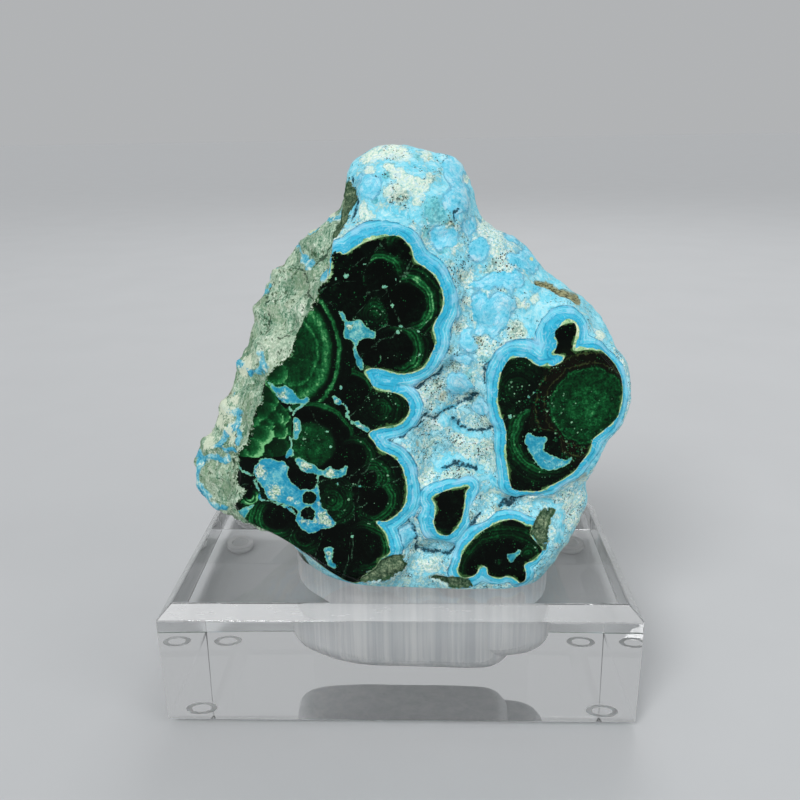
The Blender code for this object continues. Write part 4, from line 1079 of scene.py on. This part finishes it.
def rim_colour(f, place, fine, patch):
    """Banded blue that follows the windows' edges."""
    out = f.field("rim") + patch.swing(1.1) + fine.swing(0.15)
    share = f.field("rim_share") + patch.swing(0.22)
    colour = f.ramp(share, RIM_LEVELS, False)
    outer = share.ease(0.3, 0.55)
    streak = out.wave(0.66).ease(0.66, 1.0) * patch.ease(0.4, 0.62) * outer
    colour = f.mix(streak * 0.7, colour, tint(186, 228, 240))
    line = out.wave(1.25, 2.0).ease(0.78, 1.0) * patch.ease(0.62, 0.4)
    colour = f.mix(line * 0.55, colour, tint(24, 126, 164))
    swirl = f.noise(place, 6.0, 2, 0.4, 0.6).wave(0.04)
    colour = f.mix(swirl.ease(0.7, 1.0) * patch.ease(0.45, 0.6) * 0.4, colour, tint(170, 226, 238))
    cloud = f.noise(place, 3.0, 3, 0.6)
    colour = f.mix(cloud.ease(0.48, 0.62) * outer * 0.42, colour, tint(168, 214, 240))
    colour = f.mix(fine.ease(0.52, 0.72) * 0.22, colour, tint(170, 224, 238))
    contact = (f.field("contact") + patch.swing(1.8) + fine.swing(0.5)).ease(0.34, 0.12)
    edge = f.ramp(fine * 0.5 + patch * 0.5, tints(
        (0.36, 84, 144, 104), (0.46, 164, 204, 150), (0.56, 226, 238, 196),
    ))
    return f.mix(contact, colour, edge)


def matrix_colour(f, place, fine, patch, broad):
    """Cream and pale blue, mottled, with cells, spots, black specks, and creases painted near-black as shade.
    """
    mottle = f.noise(place, 1.25, 4, 0.7, 0.6)
    cream = f.ramp(fine * 0.45 + mottle * 0.55, tints(
        (0.36, 124, 186, 190), (0.43, 184, 220, 210), (0.5, 224, 240, 220), (0.58, 248, 252, 243),
    ))
    cream = f.mix(mottle.ease(0.5, 0.6) * 0.6, cream, tint(142, 204, 220))
    blue = f.ramp(patch * 0.5 + mottle * 0.3 + fine * 0.2, tints(
        (0.34, 40, 144, 178), (0.42, 80, 190, 217), (0.49, 120, 213, 234), (0.57, 156, 226, 239),
        (0.68, 208, 242, 244),
    ))
    amount = f.field("blue") + patch.swing(1.6) + broad.swing(0.9) + mottle.swing(1.0)
    cream_here = f.field("cream")
    amount = amount - cream_here * 1.1
    swirl = f.noise(place, 7.0, 2, 0.4, 0.8).wave(0.036)
    swirl = swirl.ease(0.62, 1.0) * patch.ease(0.42, 0.58)
    blue = f.mix(swirl * 0.45, blue, tint(204, 238, 244))
    combed = f.noise(f.place((1, 1, 0.28), (0, -18, 0)), 0.8, 3, 0.6)
    combed = combed.ease(0.52, 0.66) * f.field("blue").ease(0.5, 0.64) * broad.ease(0.44, 0.54)
    blue = f.mix(combed * 0.5, blue, tint(206, 240, 244))
    sugar = f.ramp(f.cells(place, 0.38)[1], tints(
        (0.25, 112, 176, 182), (0.34, 188, 214, 190), (0.44, 244, 248, 230), (0.54, 156, 220, 234),
        (0.64, 250, 252, 246), (0.8, 108, 196, 220),
    ), False)
    sugared = (f.field("blue") + patch.swing(1.0)).ease(0.75, 0.4) * 0.75
    cream = f.mix(fine.ease(0.36, 0.54) * sugared, cream, sugar)
    hem = amount.ease(0.3, 0.38) * amount.ease(0.56, 0.44) * patch.ease(0.36, 0.56)
    colour = f.mix((amount + fine.swing(0.9)).ease(0.18, 0.6), cream, blue)
    colour = f.mix(hem * 0.5, colour, tint(58, 150, 176))
    teal = (f.field("teal") + mottle.swing(1.8)).ease(0.35, 0.8)
    teal_body = f.mix(fine.ease(0.35, 0.65), tint(40, 140, 152), tint(124, 208, 210))
    colour = f.mix(teal * 0.72, colour, teal_body)
    tan = (f.field("tan") + mottle.swing(1.6)).ease(0.4, 0.85)
    colour = f.mix(tan * 0.6, colour, tint(166, 156, 118))

    cell = f.field("cell") + mottle.swing(1.2)
    cell_body = f.ramp(patch * 0.5 + broad * 0.15 + fine * 0.35, tints(
        (0.36, 66, 176, 206), (0.45, 112, 207, 232), (0.53, 146, 220, 239), (0.64, 200, 238, 244),
    ))
    cell_body = f.mix(swirl * 0.5, cell_body, tint(196, 228, 246))
    rings = (cell + patch.swing(1.0)).wave(0.9).ease(0.8, 1.0) * patch.ease(0.36, 0.5)
    cell_body = f.mix(rings * 0.4, cell_body, tint(72, 168, 206))
    colour = f.mix(cell.ease(-0.15, 0.25), colour, cell_body)
    outline = cell.ease(-0.4, -0.05) * cell.ease(0.45, 0.1) * patch.ease(0.36, 0.56)
    colour = f.mix(outline * 0.5, colour, tint(54, 142, 176))
    eye = cream_here * cell.ease(0.0, 0.3)
    colour = f.mix(eye.ease(0.45, 0.6), colour, tint(210, 220, 168))
    arc = f.field("arcs").ease(0.45, 0.12) * mottle.ease(0.4, 0.52)
    colour = f.mix(arc * 0.7, colour, tint(190, 230, 238))

    pits = f.field("pits")
    grey = (pits + mottle.swing(2.0)).ease(0.35, 0.9)
    peppery = f.ramp(fine * 0.5 + f.cells(place, 0.42)[1] * 0.3 + 0.1, tints(
        (0.38, 70, 104, 88), (0.46, 128, 158, 138), (0.54, 172, 192, 166), (0.62, 232, 238, 218),
    ))
    colour = f.mix(grey * 0.72, colour, peppery)
    clumps = f.noise(place, 3.6, 3, 0.65)
    peppered = pits * 0.7 + clumps.swing(3.4) + f.field("blue") * -0.7 + 0.74
    hole = None
    for size, share in ((0.72, 0.39), (0.38, 0.56)):
        gap, luck = f.cells(place, size)
        dot = (peppered.ease(0.1, 0.95) * luck.ease(0.2, 0.95) * share - gap).ease(-0.05, 0.1)
        hole = dot if hole is None else f.larger(hole, dot)
    hole = hole * cell.ease(0.4, 0.0)
    colour = f.mix(hole * 0.88, colour, f.mix(clumps, tint(12, 26, 30), tint(64, 52, 36)))
    # Painted shade: near-black in the creases, over a blue halo that is the stone's own colour.
    crack_and_painted_shade = (f.field("crack_and_painted_shade") + fine.swing(1.5) + mottle.swing(2.3)).ease(0.48, 0.92)
    colour = f.mix(f.field("crack_and_painted_shade").ease(0.0, 0.9) * 0.6, colour, tint(48, 140, 172))
    return f.mix(crack_and_painted_shade * 0.9, colour, f.mix(fine, tint(4, 18, 24), tint(18, 60, 74))), hole, crack_and_painted_shade


def broken_colour(f, place, fine, patch, broad):
    """Pale grey-green broken malachite, streaked by its fibres, with facets painted lighter or darker as if
    lit or shaded, and painted dark-green shade in its cracks.
    """
    fibres = f.noise(f.place((1.0, 0.5, 0.3), (0, 38, 0)), 0.7, 3, 0.65)
    crossed = f.noise(f.place((1.0, 0.5, 0.3), (0, -50, 20)), 0.8, 3, 0.65)
    fibres = f.blend(broad.ease(0.47, 0.53), fibres, crossed)
    granular = f.noise(place, 0.5, 3, 0.7)
    colour = f.ramp(fibres * 0.32 + patch * 0.28 + granular * 0.4, tints(
        (0.38, 44, 92, 64), (0.435, 104, 146, 120), (0.485, 152, 184, 158), (0.535, 194, 215, 192),
        (0.61, 236, 244, 228),
    ))
    # Painted light and shade: each broken facet is drawn lighter or darker at random, as if it caught or
    # missed the light.
    painted_facet_light = f.cells(f.place((1, 1, 0.7), (0, 30, 0)), 3.4)[1]
    colour = f.mix(painted_facet_light.ease(0.5, 0.3) * 0.45, colour, tint(84, 118, 92))
    colour = f.mix(painted_facet_light.ease(0.6, 0.78) * 0.35, colour, tint(216, 230, 206))
    shade = (broad + patch.swing(0.8) + fine.swing(0.3)).ease(0.5, 0.62)
    colour = f.mix(shade * 0.45, colour, tint(112, 140, 104))
    dark = (f.noise(place, 3.2, 5, 0.75, 0.6) + fibres.swing(0.7) + fine.swing(0.5)).ease(0.58, 0.66)
    colour = f.mix(dark * 0.8, colour, tint(24, 70, 36))
    # Painted shade: dark green in the cracks.
    crack_and_painted_shade = (f.field("crack_and_painted_shade") + fine.swing(0.9)).ease(0.35, 0.9)
    colour = f.mix(crack_and_painted_shade * 0.8, colour, tint(16, 44, 28))
    ridge = f.field("ridge") + patch.swing(1.6) + fine.swing(0.8)
    blue = f.ramp(patch * 0.7 + fine * 0.3, tints(
        (0.36, 36, 124, 158), (0.46, 70, 166, 196), (0.54, 130, 200, 212), (0.62, 220, 236, 222),
    ))
    colour = f.mix(ridge.ease(-0.15, 0.2), colour, blue)
    eye = (f.field("cream") + granular.swing(1.2) + patch.swing(1.6)).ease(0.3, 0.6)
    colour = f.mix(eye * 0.9, colour, f.mix(granular, tint(184, 206, 176), tint(246, 248, 228)))
    islet = f.field("grey")
    olive = f.ramp(granular * 0.6 + patch * 0.4, tints(
        (0.36, 26, 54, 36), (0.46, 68, 94, 70), (0.54, 104, 126, 98), (0.66, 164, 180, 144),
    ))
    olive = f.mix(fibres.ease(0.5, 0.38) * 0.7, olive, tint(24, 50, 34))
    hem = islet.ease(0.75, 0.25) * patch.ease(0.4, 0.56)
    olive = f.mix(hem * 0.7, olive, tint(16, 66, 34))
    return f.mix(islet.ease(-0.2, 0.1), colour, olive), fibres


def back_colour(f, place, fine, patch, rubble):
    """The unfinished back: green rubble with crusts of blue, a little cream and brown."""
    crust = f.noise(place, 15.0, 6, 0.62, 0.8)
    blue = f.ramp(patch * 0.6 + fine * 0.4, tints(
        (0.34, 40, 120, 140), (0.48, 84, 176, 196), (0.62, 150, 212, 216),
    ))
    colour = f.mix((crust + fine.swing(0.12)).ease(0.535, 0.575), rubble, blue)
    cream = (crust + patch.swing(0.35)).ease(0.6, 0.65)
    colour = f.mix(cream, colour, f.mix(fine, tint(176, 192, 160), tint(226, 230, 200)))
    brown = (f.noise(place, 12.0, 5, 0.65) + fine.swing(0.15)).ease(0.575, 0.63)
    return f.mix(brown * 0.7, colour, f.mix(fine, tint(76, 66, 48), tint(150, 134, 102)))


def stone_finish():
    f = Finish("malachite_and_chrysocolla", Specular_IOR_Level=0.08)
    place = f.place()
    broad, patch = f.noise(place, 9.0), f.noise(place, 2.4, 4, 0.6, 0.4)
    fine, grain = f.noise(place, 0.65, 3, 0.6), f.noise(place, 0.22, 2)

    pane, front = f.field("pane"), f.field("front")
    matrix, hole, crack_and_painted_shade = matrix_colour(f, place, fine, patch, broad)
    broken, fibres = broken_colour(f, place, fine, patch, broad)
    rim_share = f.field("rim_share") + patch.swing(0.4) + fine.swing(0.1)
    on_rim = rim_share.ease(1.08, 0.96) * front.ease(0.1, 0.3)
    colour = f.mix(on_rim, matrix, rim_colour(f, place, fine, patch))

    on_back = (front + broad.swing(0.8) + patch.swing(0.8) + fine.swing(0.2)).ease(0.52, 0.44)
    on_broken = (f.field("broken") + fine.swing(1.0) + patch.swing(1.4)).ease(-0.2, 0.15)
    grey_edge = f.field("grey") + fine.swing(1.6) + patch.swing(2.2)
    on_grey = grey_edge.ease(-0.05, 0.15) * front.ease(0.2, 0.5)
    front_rubble = f.larger(on_broken, on_grey)
    colour = f.mix(front_rubble, colour, broken)
    colour = f.mix(on_back, colour, back_colour(f, place, fine, patch, broken))
    rough_part = f.larger(front_rubble, on_back)
    slit = (f.field("slit") + fine.swing(0.5)).ease(-0.1, 0.25) * front.ease(0.1, 0.3)
    laid = f.noise(f.place((0.4, 1, 1), (0, 28, 0)), 0.34, 3, 0.6)
    colour = f.mix(slit, colour, f.mix(laid.ease(0.38, 0.6), tint(66, 68, 44), tint(158, 160, 122)))

    by_break = f.field("broken").ease(-3.0, -0.6)
    ragged = (fine.swing(2.4) + patch.swing(2.0)) * by_break
    window = pane + fine.swing(0.25) + ragged
    on_pane = window.ease(-0.05, 0.1) * (1 - on_grey)
    colour = f.mix(on_pane, colour, malachite_colour(f, place, fine, patch))
    inlay = f.field("inlay") + fine.swing(0.8)
    on_inlay = inlay.ease(-0.05, 0.08) * on_pane
    colour = f.mix(on_inlay, colour, inlay_colour(f, place, fine, patch))
    f.feed("Base Color", colour)

    rough = f.blend(on_rim, 0.46, 0.3)
    rough = f.blend(rough_part, rough, 0.78)
    rough = f.blend(on_pane, rough, 0.16)
    f.feed("Roughness", rough + fine.swing(0.12))
    soft = patch * 0.5 + fine * 0.35 + hole * -0.5 + crack_and_painted_shade * -0.4
    coarse = fibres * 0.8 + fine * 0.9 + grain * 0.6
    height = f.blend(rough_part, soft * f.blend(on_rim, 0.8, 0.25), coarse)
    f.bump(f.blend(on_pane, height, 0.35), 0.35, 0.8)
    return f.material


# ---------------------------------------------------------------- block and feet

ACRYLIC_IOR, BUMPER_IOR = 1.49, 1.45
# Cosine from which a face counts as square to an axis, and is shaded flat
SQUARE_FROM = 0.9999


def pocket_tool(name, points, floor, finish):
    """A milling cutter's whole path as one solid, its lower edge rounded."""
    top = BLOCK_TOP + POCKET_REACH
    curve = bpy.data.curves.new(name, "CURVE")
    curve.dimensions = "2D"
    curve.fill_mode = "BOTH"
    curve.resolution_u = 8
    curve.extrude = (top - floor - 2 * POCKET_FILLET) / 2 * MM
    curve.bevel_depth = POCKET_FILLET * MM
    curve.bevel_resolution = 5
    curve.offset = -POCKET_FILLET * MM
    spline = curve.splines.new("BEZIER")
    spline.bezier_points.add(len(points) - 1)
    for point, (x, y) in zip(spline.bezier_points, points):
        point.co = (x * MM, y * MM, 0)
        point.handle_left_type = point.handle_right_type = "AUTO"
    spline.use_cyclic_u = True
    tool = add_object(name, curve)
    tool.location.z = (top + floor) / 2 * MM
    select_only(tool)
    bpy.ops.object.convert(target="MESH")
    bpy.ops.object.transform_apply(location=True, rotation=True, scale=True)
    weld(tool)
    tool.data.materials.clear()
    tool.data.materials.append(finish)
    return tool


def mill(block, tool):
    apply_modifier(block, "BOOLEAN", operation="DIFFERENCE", solver="EXACT", object=tool,
                   material_mode="TRANSFER")
    bpy.data.objects.remove(tool)


def clear_finish():
    f = Finish("clear_acrylic_polished", Transmission_Weight=1.0, IOR=ACRYLIC_IOR)
    place = f.place()
    f.feed("Base Color", f.mix(f.noise(place, 30), linear(0.955, 0.965, 0.965), linear(0.985, 0.99, 0.99)))
    f.feed("Roughness", f.noise(place, 4, 5, 0.7).ease(0.5, 0.8) * 0.03)
    return f.material


def chamfer_finish():
    """The sawn and flamed chamfer: still a little matt, with fine marks along it."""
    f = Finish("clear_acrylic_chamfer", Transmission_Weight=0.78, IOR=ACRYLIC_IOR)
    streaks = f.noise(f.place((0.12, 1, 1)), 0.8, 4, 0.7)
    f.feed("Base Color", f.mix(streaks, linear(0.86, 0.88, 0.88), WHITE))
    f.feed("Roughness", 0.16 + streaks * 0.18)
    return f.material


def milled_finish():
    """Milled, frosted walls with upright tool marks."""
    f = Finish("clear_acrylic_milled", Transmission_Weight=0.2, IOR=ACRYLIC_IOR)
    upright = f.place((1, 1, 0.02))
    marks = f.noise(upright, 0.9, 3, 0.6) * 0.55 + f.noise(upright, 4.5, 2, 0.5) * 0.45
    f.feed("Base Color", f.mix(marks.ease(0.36, 0.64), linear(0.74, 0.76, 0.78), WHITE))
    f.feed("Roughness", 0.3 + marks * 0.25)
    f.bump(marks, 0.2, 0.7)
    return f.material


def build_block():
    size = BLOCK_HIGH - BLOCK_LOW
    bpy.ops.object.select_all(action="DESELECT")
    bpy.ops.mesh.primitive_cube_add(size=1, location=(BLOCK_LOW + BLOCK_HIGH) / 2, scale=size)
    block = bpy.context.object
    block.name = block.data.name = "clear_block"
    bpy.ops.object.transform_apply(location=True, rotation=True, scale=True)
    bpy.ops.object.mode_set(mode="EDIT")
    bpy.ops.mesh.select_all(action="DESELECT")
    work = bmesh.from_edit_mesh(block.data)
    for edge in work.edges:
        on_top = all(abs(vert.co.z - BLOCK_HIGH.z) < WELD_DISTANCE * MM for vert in edge.verts)
        edge.select_set(on_top)
    work.select_flush_mode()
    bmesh.update_edit_mesh(block.data)
    bpy.ops.mesh.bevel(offset=CHAMFER * MM, segments=1, affect="EDGES")
    bpy.ops.object.mode_set(mode="OBJECT")
    for finish in (clear_finish(), chamfer_finish()):
        block.data.materials.append(finish)
    for face in block.data.polygons:
        on_chamfer = 0.3 < face.normal.z < 0.9
        face.material_index = int(on_chamfer)
    apply_modifier(block, "BEVEL", width=EDGE_BREAK * MM, segments=2, limit_method="ANGLE",
                   angle_limit=math.radians(30), material=0)
    milled = milled_finish()
    mill(block, pocket_tool("pocket_tool", POCKET_OUTLINE, POCKET_FLOOR, milled))
    mill(block, pocket_tool("shelf_tool", SHELF_OUTLINE, SHELF_FLOOR, milled))
    select_only(block)
    bpy.ops.object.shade_smooth_by_angle(angle=math.radians(25))
    for face in block.data.polygons:
        level_or_upright = max(abs(part) for part in face.normal) > SQUARE_FROM
        on_chamfer = abs(abs(face.normal.z) - math.sqrt(0.5)) < 0.001
        if level_or_upright or on_chamfer:
            face.use_smooth = False
    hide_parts("acrylic_block")
    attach(block, "root")


# Radius and height up the foot from its hollow middle; a ring of adhesive wets the block's underside
FOOT_PROFILE = [
    (0, 1.72), (2.2, 1.72), (2.4, 2.02), (3.75, 2.02), (3.8, 1.8), (3.94, 1.76), (4, 1.64), (4, 1.3),
    (3.93, 0.95), (3.72, 0.56), (3.4, 0.26), (3.05, 0.08), (2.6, 0), (0, 0),
]
FOOT_STEPS = 40


def foot_finish():
    f = Finish("clear_bumper", Transmission_Weight=0.4, IOR=BUMPER_IOR)
    f.feed("Base Color", f.mix(f.noise(f.place(), 1.5), linear(0.9, 0.91, 0.92), WHITE))
    f.feed("Roughness", 0.12 + f.noise(f.place(), 0.8) * 0.12)
    return f.material


def build_feet():
    """Round bumpers, each turned from the same profile about its own upright axis."""
    finish = foot_finish()
    for end in ("front", "rear"):
        for hand in ("left", "right"):
            node = f"foot_{end}_{hand}"
            low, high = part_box(node)
            centre = (low + high) / 2
            profile = bpy.data.meshes.new("bumper_" + node)
            points = [(centre.x + r * MM, centre.y, z * MM) for r, z in FOOT_PROFILE]
            profile.from_pydata(points, [(i, i + 1) for i in range(len(points) - 1)], [])
            foot = add_object("bumper_" + node, profile)
            select_only(foot)
            bpy.ops.object.mode_set(mode="EDIT")
            bpy.ops.mesh.select_all(action="SELECT")
            axis_foot = (centre.x, centre.y, 0)
            bpy.ops.mesh.spin(steps=FOOT_STEPS, angle=math.tau, center=axis_foot, axis=(0, 0, 1))
            bpy.ops.object.mode_set(mode="OBJECT")
            weld(foot)
            foot.data.materials.append(finish)
            bpy.ops.object.shade_smooth_by_angle(angle=math.radians(40))
            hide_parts(node)
            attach(foot, "root")


# ---------------------------------------------------------------- stage, light, camera

# The camera's place in millimetres, and degrees downwards, to the right and about its own axis
CAMERA_PLACE = (6.757, -184.336, 133.459)
CAMERA_TILT, CAMERA_TURN, CAMERA_ROLL = 18.541, -2.015, -0.954
CAMERA_LENS = CAMERA_SENSOR = 36.0
# What the lights look at, in metres
LIT_PLACE = (0, 0, 0.06)


def set_stage():
    bpy.ops.object.select_all(action="DESELECT")
    bpy.ops.mesh.primitive_plane_add(size=30.0, location=(0, 0, 0))
    floor = bpy.context.object
    floor.name = "pale_floor"
    f = Finish("pale_floor", Roughness=0.55, Specular_IOR_Level=0.3)
    f.feed("Base Color", f.mix(f.noise(f.place(), 60), linear(0.52, 0.53, 0.54), linear(0.56, 0.57, 0.58)))
    floor.data.materials.append(f.material)
    world = bpy.data.worlds.new("studio")
    bpy.context.scene.world = world
    world.use_nodes = True
    world.node_tree.nodes["Background"].inputs["Color"].default_value = linear(0.96, 0.98, 1.0)
    world.node_tree.nodes["Background"].inputs["Strength"].default_value = 0.46


def aim(light, place):
    """Stands a light at its place and turns it to the middle of the stone."""
    light.location = place
    light.rotation_euler = (Vector(LIT_PLACE) - Vector(place)).to_track_quat("-Z", "Y").to_euler()


def set_lights():
    key = bpy.data.lights.new("soft_key", "SUN")
    key.energy, key.angle = 1.75, math.radians(24)
    aim(add_object("soft_key", key), (-0.34, -0.62, 0.66))
    for name, place, size, power in (
        ("fill_softbox", (0.70, -0.50, 0.42), 0.5, 1.5),
        ("rear_softbox", (0.15, 0.75, 0.95), 0.6, 2.6),
    ):
        lamp = bpy.data.lights.new(name, "AREA")
        lamp.size, lamp.energy = size, power
        softbox = add_object(name, lamp)
        softbox.visible_transmission = False
        aim(softbox, place)


def set_camera():
    tilt, turn, roll = (math.radians(a) for a in (CAMERA_TILT, CAMERA_TURN, CAMERA_ROLL))
    ahead = Vector((math.sin(turn) * math.cos(tilt), math.cos(turn) * math.cos(tilt), -math.sin(tilt)))
    level = Vector((math.cos(turn), -math.sin(turn), 0))
    upright = level.cross(ahead)
    right = math.cos(roll) * level + math.sin(roll) * upright
    up = math.cos(roll) * upright - math.sin(roll) * level
    lens = bpy.data.cameras.new("camera")
    lens.lens, lens.sensor_width = CAMERA_LENS, CAMERA_SENSOR
    lens.clip_start = 0.005
    camera = add_object("camera", lens)
    turned = Matrix((right, up, -ahead)).transposed().to_4x4()
    camera.matrix_world = Matrix.Translation(Vector(CAMERA_PLACE) * MM) @ turned
    bpy.context.scene.camera = camera


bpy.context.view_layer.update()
build_stone()
build_block()
build_feet()
set_stage()
set_lights()
set_camera()
bpy.context.scene.view_settings.view_transform = "Standard"
